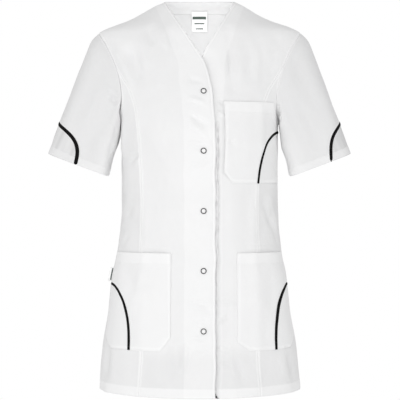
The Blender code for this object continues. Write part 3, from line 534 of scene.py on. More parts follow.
def line_height(s, z, ends, half_width, height, fade):
    """A soft ridge along the line between two ends (s_1, z_1, s_2, z_2), fading towards both of them."""
    s_1, z_1, s_2, z_2 = ends
    total = np.zeros(np.shape(z))
    reach = LINE_REACH * half_width
    near = (s > min(s_1, s_2) - reach) & (s < max(s_1, s_2) + reach)
    near = near & (z > min(z_1, z_2) - reach) & (z < max(z_1, z_2) + reach)
    ds = s[near] - s_1
    dz = z[near] - z_1
    along_s = s_2 - s_1
    along_z = z_2 - z_1
    t = np.clip((ds * along_s + dz * along_z) / (along_s**2 + along_z**2), 0, 1)
    away = np.hypot(ds - t * along_s, dz - t * along_z)
    taper = smoothstep(t / fade) * smoothstep((1 - t) / fade) if fade else 1.0
    total[near] = height * taper * bell(away / half_width)
    return total


def crease_ends(crease, depth):
    """A crease's two ends as angles; the second one is taken the short way round."""
    ends = (crease.x_1, crease.z_1), (crease.x_2, crease.z_2)
    first, second = [float(angle_at(x, z, depth)) for x, z in ends]
    if abs(second - first) > math.pi:
        second += math.copysign(2 * math.pi, first - second)
    return first * FOLD_REACH, crease.z_1, second * FOLD_REACH, crease.z_2


CREASES = [(c, crease_ends(c, "front_depth")) for c in FRONT_CREASES]
CREASES += [(c, crease_ends(c, "back_depth")) for c in BACK_CREASES]


def fold_height(angle, z):
    """How far the folds and creases raise the cloth."""
    total = np.zeros(np.shape(z))
    for turn in TURNS:
        s = (angle + turn) * FOLD_REACH
        for fold in FOLDS:
            s_1, s_2 = [math.radians(a) * FOLD_REACH for a in (fold.angle_1, fold.angle_2)]
            total += line_height(s, z, (s_1, fold.z_1, s_2, fold.z_2), fold.half_width, fold.height, 0)
        for crease, ends in CREASES:
            total += line_height(s, z, ends, crease.half_width, CREASE_DEPTH * crease.height, CREASE_FADE)
    return total


print("deepest fold:", min(fold.height for fold in FOLDS), "m")

# %% [markdown]
# Between the folds, cloth is slightly uneven everywhere. A little noise, read at the points' own places so
# that neighbouring pieces agree at their seams, takes the look of moulded plastic away.

# %% Unevenness
Ripple = namedtuple("Ripple", "size stretch height")
RIPPLES = (
    Ripple(0.075, 2.2, 0.0022),
    Ripple(0.030, 1.6, 0.0008),
    Ripple(0.012, 1.2, 0.0003),
)


def noise_at(x, y, z):
    """Blender's noise at these places."""
    x, y, z = np.broadcast_arrays(x, y, z)
    return np.reshape([noise.noise(Vector(place)) for place in zip(x.flat, y.flat, z.flat)], z.shape)


def ripple_height(points):
    """Noise in metres at each point; the stretch makes each size taller than it is wide."""
    total = 0.0
    for ripple in RIPPLES:
        scaled = points / ripple.size * np.array([1, 1, 1 / ripple.stretch])
        total = total + ripple.height * noise_at(*np.moveaxis(scaled, -1, 0))
    return total


def cloth_point(angle, z, lift=0.0):
    """A point of the cloth's outer face, raised by its folds and by the lift given."""
    angle, z = np.broadcast_arrays(np.asarray(angle, float), np.asarray(z, float))
    base = base_point(angle, z)
    raised = fold_height(angle, z) + ripple_height(base) + lift
    return base + raised[..., None] * base_normal(angle, z)


print("ripples:", len(RIPPLES))

# %% [markdown]
# ## White cloth
# The tunic is a matt poly-cotton twill. Two things make white cloth look real. One layer lets light through
# into the dark inside and looks a little grey, while two or three layers, in facings, hems and seams, look
# whiter. So every point of the cloth carries a number of layers, which sets its tone. A thin shell lets no
# light through, so the number also carries painted light and shade where cloth should look lighter or darker
# than its layers alone would make it: painted light under the arms, inside the snaps and as a highlight
# along the front edges, painted shade on the lower skirt, on the inserts and in the groove beside the front
# edge. A number below nought mixes in a near-black painted shade, for an insert and for a narrow groove
# where hardly any light gets in. And the surface has its own weave, slight unevenness and a soft crumple.
# The weave follows the piece's UV map, which is laid out in metres.

# %% Cloth material
ONE_LAYER = grey(0.745, 0.003)
MANY_LAYERS = grey(0.905, 0.001)
LAYER_FALL = 0.25
# Near-black painted shade, mixed in where the number of layers falls below nought.
NEAR_BLACK_PAINTED_SHADE = grey(0.08)
THREAD_PITCH = 0.0005
WEAVE_DEPTH = 0.00003
CRUMPLE_SIZE = 0.006
CRUMPLE_DEPTH = 0.00025
MOTTLE_TONE = 0.25
WEAVE_TONE = 0.03

cloth, shader, start = new_material("white_twill")
u, v = cut_lengths(start)
layers = start.node("ShaderNodeAttribute", attribute_name="layers", output="Fac")
turns_per_metre = 2 * math.pi / THREAD_PITCH
weave = (u * turns_per_metre).sine() * 0.4 + ((u + v) * (turns_per_metre / 2)).sine() * 0.6
mottle = cloud(start, scale=22.0, detail=4.0)
crumple = cloud(start, scale=1 / CRUMPLE_SIZE, detail=3.0, roughness=0.55)
uneven = LAYER_FALL ** (layers - 1.0) + (mottle - 0.5) * MOTTLE_TONE + weave * WEAVE_TONE
feed(shader, {
    # Below nought layers the tone mixes towards the near-black painted shade.
    "Base Color": (layers * -1.0).mixed(uneven.mixed(MANY_LAYERS, ONE_LAYER), NEAR_BLACK_PAINTED_SHADE),
    "Roughness": mottle * 0.10 + 0.78,
    "Normal": (weave * WEAVE_DEPTH + crumple * CRUMPLE_DEPTH).bump(0.6),
    "Sheen Weight": 0.12,
    "Sheen Roughness": 0.5,
    "Specular IOR Level": 0.25,
})
print("cloth material has", len(cloth.node_tree.nodes), "nodes")

# %% [markdown]
# ## A cloth piece from a grid
# A flat grid is Blender's simplest cloth: rows and columns like warp and weft. `create_grid` makes it, and
# each of its points is then moved to its place on the form. The piece's UV map holds the lengths along and
# across the cloth in metres, and Solidify gives it a thickness on its inner side.

# %% Helpers for pieces
CLOTH = 0.0008
DOUBLES = 1e-6
surfaces = {}


def lengths_across(points):
    """For each point, the length along its row from the row's first point."""
    steps = np.linalg.norm(np.diff(points, axis=1), axis=-1)
    return np.concatenate([np.zeros((len(points), 1)), np.cumsum(steps, axis=1)], axis=1)


def lengths_up(points):
    return lengths_across(points.swapaxes(0, 1)).swapaxes(0, 1)


def finish_piece(name, mesh, material, nodes=()):
    """An object for the mesh, riding on the tunic and standing for its CAD nodes."""
    mesh.materials.append(material)
    mesh.shade_smooth()
    piece = linked(name, mesh)
    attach(piece, "root")
    if nodes:
        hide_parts(*nodes)
    print(name, "has", len(mesh.polygons), "faces")
    return piece


print("cloth is", CLOTH, "m thick")

# %% A grid of cloth
NOT_ZERO = 1e-12


def set_uv(mesh, pairs):
    """A pair of lengths for each corner of the mesh's faces."""
    mesh.uv_layers.new(name="cut").data.foreach_set("uv", pairs.astype(np.float32).ravel())


def set_layers(mesh, layers):
    counted = np.asarray(layers).astype(np.float32).ravel()
    mesh.attributes.new("layers", "FLOAT", "POINT").data.foreach_set("value", counted)


def grid_mesh(name, points):
    """Rows and columns of points as a mesh, with the lengths across and up it as its UV map."""
    rows, columns = points.shape[:2]
    bm = bmesh.new()
    bmesh.ops.create_grid(bm, x_segments=columns - 1, y_segments=rows - 1, size=1.0)
    mesh = mesh_of(bm, name)
    mesh.vertices.foreach_set("co", points.astype(np.float32).ravel())
    corners = np.empty(len(mesh.loops), dtype=np.int32)
    mesh.loops.foreach_get("vertex_index", corners)
    lengths = np.stack([lengths_across(points), lengths_up(points)], axis=-1)
    set_uv(mesh, lengths.reshape(-1, 2)[corners])
    return mesh


def joined(mesh, capped=False):
    """Merges the points that lie on each other where a grid closes on itself, and caps its ends."""
    bm = bmesh.new()
    bm.from_mesh(mesh)
    bmesh.ops.remove_doubles(bm, verts=bm.verts, dist=DOUBLES)
    if capped:
        bmesh.ops.holes_fill(bm, edges=bm.edges, sides=0)
        bmesh.ops.recalc_face_normals(bm, faces=bm.faces)
    bm.to_mesh(mesh)
    bm.free()


def cloth_piece(name, points, normals, layers, node, material=cloth, closed=False, thickness=CLOTH):
    """A sheet of cloth through rows and columns of points, with its outer face towards the normals."""
    facing = unit(np.cross(np.gradient(points, axis=1), np.gradient(points, axis=0)) + NOT_ZERO)
    towards = np.sign(np.sum(facing * normals))
    surfaces[name] = np.concatenate([points, facing * towards], axis=-1)
    layers = np.broadcast_to(layers, points.shape[:2])
    if towards < 0:
        points = points[:, ::-1]
        layers = layers[:, ::-1]
    mesh = grid_mesh(name, points)
    set_layers(mesh, layers)
    if closed:
        joined(mesh)
    piece = finish_piece(name, mesh, material, [node])
    wall = piece.modifiers.new("thickness", "SOLIDIFY")
    wall.thickness = thickness
    wall.offset = -1
    return piece


# %% [markdown]
# ## Seams
# At a sewn edge the cloth dips into the seam, and behind it lies the seam allowance: a second layer about 9
# mm wide that raises the cloth a little and shows through as a lighter band. Columns of points crowd
# together near the edges of each piece, so that this small shape is in the mesh itself.

# %% Seam shapes
ARMHOLE_STEPS = 84
PRINCESS_STEP = 36
SKIRT_ROWS = 158
TIP_SHARE = 0.7
SEAM_ALLOWANCE = 0.0044
ALLOWANCE_RISE = 0.0004
SEAM_DIP = 0.0005
SEAM_DIP_WIDTH = 0.0011
SOFT = 0.0016
EDGE_STEPS = np.array([0.0, 0.0006, 0.0013, 0.0025, 0.0036, 0.0044, 0.0054, 0.0075])
EDGE_SHARE = 0.45
HEM_RISE = 0.0005
HEM_FOLD = 0.0006
HEM_FOLD_WIDTH = 0.0010
HEM_STITCH = 0.0003
HEM_STITCH_WIDTH = 0.0011
HEM_MARGIN = 0.001
SEAM_LAYERS = 0.5
HEM_LAYERS = 0.6


def band(distance, width):
    """1 within the width of an edge, falling softly to 0."""
    return 1 - smoothstep((distance - width) / SOFT + 0.5)


def seam_lift(distance):
    """The height of the cloth beside a seam."""
    return ALLOWANCE_RISE * band(distance, SEAM_ALLOWANCE) - SEAM_DIP * bell(distance / SEAM_DIP_WIDTH)


def hem_lift(above, width=HEM_BAND):
    """A hem's second layer, its stitched edge and its rounded fold, by the length above its edge."""
    fold = -HEM_FOLD * bell(above / HEM_FOLD_WIDTH)
    stitch = -HEM_STITCH * bell((above - width) / HEM_STITCH_WIDTH)
    return HEM_RISE * band(above, width + HEM_MARGIN) + fold + stitch


def panel_layers(level, z, *from_seams):
    """A panel's own layers, and more in the allowances of its seams and in its hem."""
    in_seams = sum(band(distance, SEAM_ALLOWANCE) for distance in from_seams)
    return level + SEAM_LAYERS * in_seams + HEM_LAYERS * band(z - HEM_Z, HEM_BAND)


def shares_across(length, count):
    """Shares of the way across rows of these lengths: close together near both edges, even between."""
    squeeze = np.minimum(1, EDGE_SHARE * length / EDGE_STEPS[-1])
    near = EDGE_STEPS * (squeeze / length)[:, None]
    far = 1 - near[:, ::-1]
    middle = np.linspace(0, 1, count + 1)[1:-1]
    inner = near[:, -1:] + (far[:, :1] - near[:, -1:]) * middle
    return np.concatenate([near, inner, far], axis=1)


def lerp_rows(start, end, share):
    return start[:, None] + (end - start)[:, None] * share


print("a seam's cloth rises by", round(float(seam_lift(np.array(0.003))) * 1000, 2), "mm")

# %% Seam lines
ABOVE_HEM = 0.004
HEM_STEPS = np.array([0.0, 0.0006, 0.0015, 0.0045, 0.0085, 0.0125, 0.0160, 0.0174, 0.0184, 0.0196])


def armhole_x(z, scoop):
    """The armhole as seen from the front: a line from shoulder point to underarm, scooped inwards."""
    top = smooth_value(SECTIONS, "half_width", SHOULDER_POINT_Z)
    low = smooth_value(SECTIONS, "half_width", UNDERARM_Z)
    s = (SHOULDER_POINT_Z - z) / (SHOULDER_POINT_Z - UNDERARM_Z)
    return top + (low - top) * s - scoop * 4 * s * (1 - s)


def armhole_angle_at(z):
    return angle_at(armhole_x(z, FRONT_SCOOP), z)


def armhole_z(turn):
    """The height on the armhole at a turn from 0 (shoulder) through pi (underarm)."""
    return SHOULDER_POINT_Z + (UNDERARM_Z - SHOULDER_POINT_Z) * (1 - np.cos(turn)) / 2


def armhole_angle(turn):
    """The body angle on the left armhole, down its front for turns to pi and up its back after."""
    z = armhole_z(turn)
    front = angle_at(armhole_x(z, FRONT_SCOOP), z)
    back = angle_at(armhole_x(z, BACK_SCOOP), z, "back_depth")
    return np.where(turn <= math.pi, front, back)


def skirt_levels():
    """Heights of the rows from the hem to the underarm, with close rows in the hem's edge and seam."""
    band_rows = HEM_Z + HEM_STEPS
    upper = np.linspace(HEM_Z + HEM_BAND + ABOVE_HEM, UNDERARM_Z, SKIRT_ROWS + 1)
    return np.concatenate([band_rows, upper])


def armhole_turns(last_step=0):
    steps = np.arange(ARMHOLE_STEPS - 1, last_step - 1, -1)
    return steps * math.pi / ARMHOLE_STEPS


def middle_levels(top_z, power=1.0):
    rise = (1 + np.cos(armhole_turns())) / 2
    return UNDERARM_Z + rise**power * (top_z - UNDERARM_Z)


def princess_angle(z):
    start_z = armhole_z(PRINCESS_STEP * math.pi / ARMHOLE_STEPS)
    start = SeamPoint(float(start_z), float(armhole_x(start_z, FRONT_SCOOP)))
    return angle_at(smooth_value((start,) + PRINCESS_SEAM, "x", z), z)


print("armhole from", SHOULDER_POINT_Z, "down to", UNDERARM_Z)

# %% [markdown]
# ## The fronts
# Each front runs from its cut edge, the V and then the snap line, to the princess seam and the armhole. The
# right front lies on top. The left one dives under it, so a hollow with two narrow slits runs down beside
# the right edge, and the cloth in it carries uneven patches of painted light and shade as well, darkest in
# the corner at the hem, where the two edges part and the gap into the dark inside is painted near black on
# the left front. Behind each edge lies a facing 59 mm wide, which makes the strip along the snaps whiter
# than the rest. A narrow band along each edge is whiter still: its seam allowance, with a painted highlight
# of the rolled edge. The lower skirt is painted a little darker, as painted shade.

# %% Rows of the fronts
FRONT_COLUMNS = 66
EDGE_WAVE = 0.0022
EDGE_WAVE_LENGTH = 0.040
EDGE_WAVE_TOP_Z = -0.130
EDGE_WAVE_FADE = 0.060
LAP_STEPS = np.array(
    [-0.0010, 0.0002, 0.0010, 0.0017, 0.0025, 0.0033, 0.0041, 0.0049, 0.0057, 0.0066, 0.0078]
)
LAP_LEAST = 0.012
HEM_SIDE_RISE = 0.0030
SIDE_RISE_TOP_Z = -0.70
SIDE_RISE_FADE = 0.04


def wave_at(z):
    """The front edges aren't quite straight: they wander in and out between the snaps."""
    wave = noise_at(0.0, 7.0, z / EDGE_WAVE_LENGTH)
    return EDGE_WAVE * wave * smoothstep((EDGE_WAVE_TOP_Z - z) / EDGE_WAVE_FADE)


def settled(angle, z):
    """The hem hangs a little higher at the sides than at the middle."""
    low = smoothstep((SIDE_RISE_TOP_Z - z) / SIDE_RISE_FADE)
    return z + HEM_SIDE_RISE * low * np.sin(angle) ** 2


def body_panel(name, node, angle, z, lift, layers):
    cloth_piece(name, cloth_point(angle, settled(angle, z), lift), base_normal(angle, z), layers, node)


def front_rows(side):
    """Angles and heights of a front's points, a row from the front edge to the side boundary."""
    low = skirt_levels()
    edge_z = np.concatenate([low, middle_levels(0.0)])
    side_z = np.concatenate([low, armhole_z(armhole_turns())])
    on_seam = side_z < armhole_z(PRINCESS_STEP * math.pi / ARMHOLE_STEPS)
    seam = np.where(on_seam, princess_angle(side_z), armhole_angle_at(side_z))
    edge = smooth_value(FRONT_EDGES, "left_x" if side > 0 else "right_x", edge_z)
    edge = edge + wave_at(edge_z)
    start = angle_at(side * edge, edge_z)
    end = seam - angle_of(SEAM_GAP / 2, seam, side_z)
    length = np.linalg.norm(base_point(end, side_z) - base_point(start, edge_z), axis=-1)
    share = shares_across(length, FRONT_COLUMNS)
    if side > 0:
        lap = smooth_value(FRONT_EDGES, "right_x", edge_z) + wave_at(edge_z) - edge
        beside_lap = np.maximum(lap, LAP_LEAST)[:, None] + LAP_STEPS
        share = np.sort(np.concatenate([share, beside_lap / length[:, None]], axis=1), axis=1)
    angle = lerp_rows(start, end, share)
    z = lerp_rows(edge_z, side_z, share)
    angle[-1] = math.pi / 2 - angle_of(SEAM_GAP / 2, angle[-1], z[-1])
    return side * angle, z


print("rows of a front:", front_rows(1)[0].shape)

# %% The hollow beside the right front's edge
LAP_DEPTH = 0.0055
LAP_FADE = 0.035
LAP_TOP_Z = -0.090
LAP_RISE = 0.030
GUTTER_DEPTH = 0.0014
GUTTER_HALF_WIDTH = 0.0045
GUTTER_OUTSIDE = 0.0045
GUTTER_TOP_Z = -0.236
GUTTER_FADE = 0.014
SLIT_NOISE_LENGTH = 0.009
LOWER_Z = -0.430
LOWER_FADE = 0.120
OPEN_CORNER = 0.008
Slit = namedtuple("Slit", "outside half_width depth share uneven noise_x noise_y")
SLIT = Slit(0.0015, 0.0014, 0.0024, 0.75, 0.9, 3.0, 0.0)
SECOND_SLIT = Slit(0.0050, 0.0014, 0.0022, 0.9, 1.2, 5.0, 2.0)
SLIT_LOWER_SHARE = 0.2
SLIT_CORNER_SHARE = 2.0


def lap_lift(side, angle, z):
    """How deep the left front lies where the right one covers it."""
    if side < 0:
        return np.zeros(angle.shape)
    x = base_point(angle, z)[..., 0]
    across = smoothstep((smooth_value(FRONT_EDGES, "right_x", z) + LAP_FADE - x) / LAP_FADE)
    return -LAP_DEPTH * across * smoothstep((LAP_TOP_Z - z) / LAP_RISE)


def beyond_lap(angle, z):
    """How far each point lies beyond the right front's edge, and how much it is in the lower part."""
    away = base_point(angle, z)[..., 0] - smooth_value(FRONT_EDGES, "right_x", z) - wave_at(z)
    return away, smoothstep((LOWER_Z - z) / LOWER_FADE)


def slit_shape(slit, away):
    return bell((away - slit.outside) / slit.half_width)


def slit_depth(slit, z):
    """A slit's share of its depth, uneven down its length."""
    return slit.share + slit.uneven * noise_at(slit.noise_x, slit.noise_y, z / SLIT_NOISE_LENGTH)


def gutter_lift(side, angle, z):
    """The hollow beside the right front's edge, where the left front dives under it, and its slits."""
    if side < 0:
        return np.zeros(angle.shape)
    away, lower = beyond_lap(angle, z)
    soft = GUTTER_DEPTH * bell((away - GUTTER_OUTSIDE) / GUTTER_HALF_WIDTH)
    at_corner = smoothstep((HEM_Z + OPEN_CORNER - z) / OPEN_CORNER)
    deep = slit_depth(SLIT, z) + SLIT_LOWER_SHARE * lower + SLIT_CORNER_SHARE * at_corner
    second_deep = np.clip(slit_depth(SECOND_SLIT, z), 0, 2) * (1 - lower)
    slits = SLIT.depth * deep * slit_shape(SLIT, away)
    slits = slits + SECOND_SLIT.depth * second_deep * slit_shape(SECOND_SLIT, away)
    return -(soft + slits) * smoothstep((GUTTER_TOP_Z - z) / GUTTER_FADE)


print("the hollow starts at", GUTTER_TOP_Z)

# %% The painted shade in the hollow
# Uneven patches of painted light and shade beside the right front's edge, and near-black painted shade in the
# corner at the hem.
GROOVE_WIDTH = 0.0080
LOWER_GROOVE_WIDTH = 0.0046
GROOVE_PAINTED_LEVEL = 1.50
LOWER_GROOVE_PAINTED_LEVEL = 1.40
GROOVE_UNEVEN = 1.7
LOWER_EVENNESS = 0.6
GROOVE_PATCH_WIDTH = 0.004
GROOVE_PATCH_LENGTH = 0.010
CORNER_WIDTH = 0.0085
CORNER_HEIGHT = 0.0110
CORNER_LAP = 0.002
CORNER_PAINTED_SHADE = -0.9


def groove_painted_shade(angle, z, layers):
    """The left front's layers with painted shade: uneven patches beside the right one's edge, near black low
    in the corner.
    """
    away, lower = beyond_lap(angle, z)
    half_width = (GROOVE_WIDTH + (LOWER_GROOVE_WIDTH - GROOVE_WIDTH) * lower) / 2
    share = np.exp(-(((away - half_width) / half_width) ** 4))
    share = share * smoothstep((GUTTER_TOP_Z - z) / GUTTER_FADE)
    uneven = noise_at(away / GROOVE_PATCH_WIDTH, 9.0, z / GROOVE_PATCH_LENGTH)
    level = GROOVE_PAINTED_LEVEL + (LOWER_GROOVE_PAINTED_LEVEL - GROOVE_PAINTED_LEVEL) * lower
    level = level + GROOVE_UNEVEN * uneven * (1 - LOWER_EVENNESS * lower)
    layers = layers + (level - layers) * share
    in_corner = (away / CORNER_WIDTH + (z - HEM_Z) / CORNER_HEIGHT < 1) & (away > -CORNER_LAP)
    return np.where(in_corner, CORNER_PAINTED_SHADE, layers)


# The corner's number below nought paints it near black, as painted shade.
print("the corner at the hem has", CORNER_PAINTED_SHADE, "layers")

# %% Fronts
SIDES = ((-1, "right"), (1, "left"))
EDGE_ALLOWANCE = 0.0040
EDGE_ROLL = 0.0011
EDGE_ROLL_WIDTH = 0.0012
FRONT_LAYERS = 1.35
FACING_LAYERS = 0.3
EDGE_SEAM_AND_HIGHLIGHT_LAYERS = 0.8
SKIRT_PAINTED_SHADE = 0.28
SKIRT_TOP_Z = -0.655
SKIRT_FADE = 0.040

for side, word in SIDES:
    angle, z = front_rows(side)
    base = base_point(angle, z)
    from_edge = lengths_across(base)
    from_seam = from_edge[:, -1:] - from_edge
    from_top = lengths_up(base)[-1:] - lengths_up(base)
    roll = -EDGE_ROLL * bell(from_edge / EDGE_ROLL_WIDTH)
    lift = lap_lift(side, angle, z) + gutter_lift(side, angle, z) + roll
    lift = lift + seam_lift(from_seam) + seam_lift(from_top) + hem_lift(z - HEM_Z)
    facing = band(from_edge, smooth_value(FACING_WIDTHS, "width", z))
    layers = panel_layers(FRONT_LAYERS + FACING_LAYERS * facing, z, from_seam)
    # A band along the edge is whiter: partly its seam allowance, partly a painted highlight of the rolled
    # edge.
    layers = layers + EDGE_SEAM_AND_HIGHLIGHT_LAYERS * band(from_edge, EDGE_ALLOWANCE)
    # Painted shade: the lower skirt is set darker than its layers make it.
    layers = layers - SKIRT_PAINTED_SHADE * smoothstep((SKIRT_TOP_Z - z) / SKIRT_FADE)
    if side > 0:
        # The left front gets painted shade beside the right front's edge and in the corner at the hem.
        layers = groove_painted_shade(angle, z, layers)
    body_panel(f"front_{word}_cloth", f"front_{word}", angle, z, lift, layers)

# %% [markdown]
# ## The side fronts
# A side front fills the gap between the princess seam and the side seam. Its two top edges meet in a narrow
# tip on the armhole. Under the arm the cloth carries painted light, lighter than its layers make it, here
# and on the back and the sleeve: it stands for the light that comes through thin cloth into that narrow
# gap, which a thin shell would leave black.

# %% Rows and layers of the side fronts
SIDE_COLUMNS = 16
SIDE_LAYERS = 1.25
ARMPIT_PAINTED_LIGHT = 1.3
ARMPIT_Z = -0.235
ARMPIT_HEIGHT = 0.060
ARMPIT_REACH = 0.35


# Painted light under the arm, added to a panel's layers.
def armpit_painted_light(angle, z):
    return ARMPIT_PAINTED_LIGHT * bell(np.cos(angle) / ARMPIT_REACH) * bell((z - ARMPIT_Z) / ARMPIT_HEIGHT)


def side_front_rows(side):
    z = np.concatenate([skirt_levels(), armhole_z(armhole_turns(PRINCESS_STEP))])
    start = princess_angle(z)
    end = np.where(z < UNDERARM_Z + DOUBLES, math.pi / 2, armhole_angle_at(z))
    start = start + angle_of(SEAM_GAP / 2, start, z)
    end = end - angle_of(SEAM_GAP / 2, end, z)
    for line in (z, start, end):
        line[-1] = line[-2] + (line[-1] - line[-2]) * TIP_SHARE
    length = np.linalg.norm(base_point(end, z) - base_point(start, z), axis=-1)
    share = shares_across(length, SIDE_COLUMNS)
    return side * lerp_rows(start, end, share), lerp_rows(z, z, share)


print("rows of a side front:", side_front_rows(1)[0].shape)

# %% Side fronts
for side, word in SIDES:
    angle, z = side_front_rows(side)
    from_start = lengths_across(base_point(angle, z))
    from_end = from_start[:, -1:] - from_start
    lift = seam_lift(from_start) + seam_lift(from_end) + hem_lift(z - HEM_Z)
    layers = panel_layers(SIDE_LAYERS, z, from_start, from_end) + armpit_painted_light(angle, z)
    body_panel(f"side_front_{word}_cloth", f"front_side_{word}", angle, z, lift, layers)

# %% [markdown]
# ## The back
# The back is one piece from side seam to side seam. Its top row follows the neckline and the shoulder
# seams, and the rows below turn towards that line bit by bit, so that no row ends in the air.

# %% Rows of the back
NECK_COLUMNS = 34
RIDGE_COLUMNS = 34
NECK_SHARE = 0.5
RIDGE_SHARE = 1 - NECK_SHARE
HALF_BACK = 0.30
LEAST_COLUMN = 0.006


def half_back_rows():
    """Rows of the left half of the back, from the middle to the side seam, armhole or shoulder."""
    low = skirt_levels()
    turns = armhole_turns()
    middle_z = np.concatenate([low, middle_levels(BACK_NECK_Z, BACK_RISE_POWER)])
    side_z = np.concatenate([low, armhole_z(turns)])
    seam = np.concatenate([np.full(len(low), math.pi / 2), armhole_angle(2 * math.pi - turns)])
    ridge = np.linspace(0, 1, RIDGE_COLUMNS + 1)[1:]
    even = np.concatenate([np.linspace(0, NECK_SHARE, NECK_COLUMNS + 1), NECK_SHARE + ridge * RIDGE_SHARE])
    edge = 1 - EDGE_STEPS[:0:-1] / HALF_BACK
    share = np.concatenate([even[even < edge[0] - LEAST_COLUMN], edge, [1.0]])
    angle = lerp_rows(np.full(len(seam), math.pi), seam, share)
    z = lerp_rows(middle_z, side_z, share)
    round_neck = np.clip(share / NECK_SHARE, 0, 1)
    on_ridge = np.clip((share - NECK_SHARE) / RIDGE_SHARE, 0, 1)
    top_angle = math.pi * (1 - round_neck / 2)
    top_z = np.where(on_ridge > 0, SHOULDER_POINT_Z * on_ridge, BACK_NECK_Z * (1 - round_neck**2))
    rise = np.concatenate([np.zeros(len(low)), (1 + np.cos(turns)) / 2])
    pull = (1 - (1 - rise) ** 2)[:, None]
    angle = angle + pull * (top_angle - angle[-1])
    z = z + pull * (top_z - z[-1])
    least = math.pi / 2 + angle_of(SEAM_GAP / 2, angle, z)
    return np.maximum(angle, least), z


print("rows of half a back:", half_back_rows()[0].shape)

# %% Back
BACK_LAYERS = 1.3

angle, z = half_back_rows()
angle = np.concatenate([angle[:, ::-1], 2 * math.pi - angle[:, 1:]], axis=1)
z = np.concatenate([z[:, ::-1], z[:, 1:]], axis=1)
back_angle = angle
back_z = z
base = base_point(angle, z)
from_left = lengths_across(base)
from_side = np.minimum(from_left, from_left[:, -1:] - from_left)
from_top = lengths_up(base)[-1:] - lengths_up(base)
lift = seam_lift(from_side) + seam_lift(from_top) + hem_lift(z - HEM_Z)
layers = panel_layers(BACK_LAYERS, z, from_side, from_top) + armpit_painted_light(angle, z)
body_panel("back_cloth", "back", angle, z, lift, layers)

# %% [markdown]
# ## The sleeves
# A sleeve is a tube from the armhole to its tilted hem, a little fuller where its head turns over the
# shoulder. At the outer side its lower edge runs up over an arch, and a small insert fills that arch. Two
# shapes are added to the tube. It is squarer than a real one, so that its front catches the light, and
# where it would lie in the body it is moved out until it just clears it.

# %% Measurements of the sleeves
SLEEVE_HEM_CENTRE = (0.2354, -0.0060, -0.3186)
SLEEVE_HEM_HALF_WIDTH = 0.0616
SLEEVE_HEM_HALF_DEPTH = 0.0560
SLEEVE_HEM_TILT = math.radians(20.7)
SLEEVE_SQUARENESS = 4.6
SLEEVE_FRONT_DROP = 0.0025
SLEEVE_HEAD_ROLL = 0.0085
SLEEVE_MIDDLE_FULLNESS = 0.003
SLEEVE_ROLL_LENGTH = 0.026
SLEEVE_SEAM_GAP = 0.0001
SLEEVE_COLUMNS = 2 * ARMHOLE_STEPS
SLEEVE_STEP = 1e-3
SLEEVE_OUTER_LENGTH = 0.25
SLEEVE_INNER_LENGTH = 0.22
SLEEVE_RADIUS = 0.06
SLEEVE_HEM_BAND = 0.015
ARCH_ANGLE = math.radians(77)
ARCH_TWIST = {-1: math.radians(10.0), 1: math.radians(-4)}
ARCH_HEIGHT = 0.245
ARCH_POWER = {-1: 0.54, 1: 0.42}
ARCH_LEAN = {-1: 0.12, 1: 0.22}
ARCH_COLUMNS = 84
SLEEVE_ROWS = 64
SLEEVE_HEM_STEPS = np.array(
    [0.0192, 0.0170, 0.0160, 0.0150, 0.0138, 0.011, 0.0075, 0.0045, 0.0016, 0.0006, 0.0]
)
SLEEVE_FOLD_FADE = 0.2
SLEEVE_SEAM_CALM = 0.15

SleeveFold = namedtuple("SleeveFold", "name angle row_1 row_2 half_angle height")
SLEEVE_FOLDS = (
    SleeveFold("front_long", 118, 0.10, 0.80, 15, -0.0040),
    SleeveFold("front_short", 60, 0.15, 0.50, 14, -0.0025),
    SleeveFold("back_long", 242, 0.12, 0.85, 16, -0.0040),
    SleeveFold("back_short", 296, 0.20, 0.60, 15, -0.0025),
    SleeveFold("underarm", 180, 0.18, 0.34, 22, 0.0040),
    SleeveFold("underarm_swell", 145, 0.22, 0.46, 24, 0.0045),
)

# Fine creases, by the turn round the sleeve in degrees and the share of the way down it.
SleeveCrease = namedtuple("SleeveCrease", "name side turn_1 row_1 turn_2 row_2 half_width height")
SLEEVE_CREASES = (
    SleeveCrease("head_pull_right", -1, 120, 0.06, 88, 0.27, 0.005, -0.0048),
    SleeveCrease("head_ridge_right", -1, 108, 0.05, 76, 0.25, 0.006, 0.0026),
    SleeveCrease("underarm_right", -1, 134, 0.12, 138, 0.84, 0.007, -0.0026),
    SleeveCrease("front_drop_right", -1, 106, 0.36, 104, 0.96, 0.010, -0.0024),
    SleeveCrease("front_ridge_right", -1, 72, 0.22, 70, 0.80, 0.010, 0.0024),
    SleeveCrease("armhole_tuck_left_1", 1, 150, 0.12, 126, 0.22, 0.004, -0.0030),
    SleeveCrease("armhole_tuck_left_2", 1, 146, 0.04, 122, 0.16, 0.005, -0.0024),
    SleeveCrease("front_drop_left", 1, 122, 0.30, 118, 0.95, 0.010, 0.0024),
    SleeveCrease("front_dip_left", 1, 84, 0.26, 78, 0.90, 0.010, -0.0024),
    SleeveCrease("insert_pull_left", 1, 40, 0.80, 28, 0.96, 0.004, -0.0012),
    SleeveCrease("back_drop_right", -1, 262, 0.20, 258, 0.90, 0.010, 0.0016),
    SleeveCrease("back_pull_right", -1, 226, 0.08, 250, 0.34, 0.006, -0.0018),
    SleeveCrease("back_drop_left", 1, 270, 0.24, 264, 0.92, 0.010, 0.0014),
    SleeveCrease("back_pull_left", 1, 222, 0.08, 246, 0.38, 0.006, -0.0018),
)
print(len(SLEEVE_FOLDS), "folds and", len(SLEEVE_CREASES), "creases on the sleeves")

# %% The sleeve surface
def armhole_point(turn):
    """The armhole edge of the left side; its fine unevenness is added to body and sleeve alike."""
    z = armhole_z(turn)
    return base_point(armhole_angle(turn), z) + np.array([SLEEVE_SEAM_GAP, 0, 0])


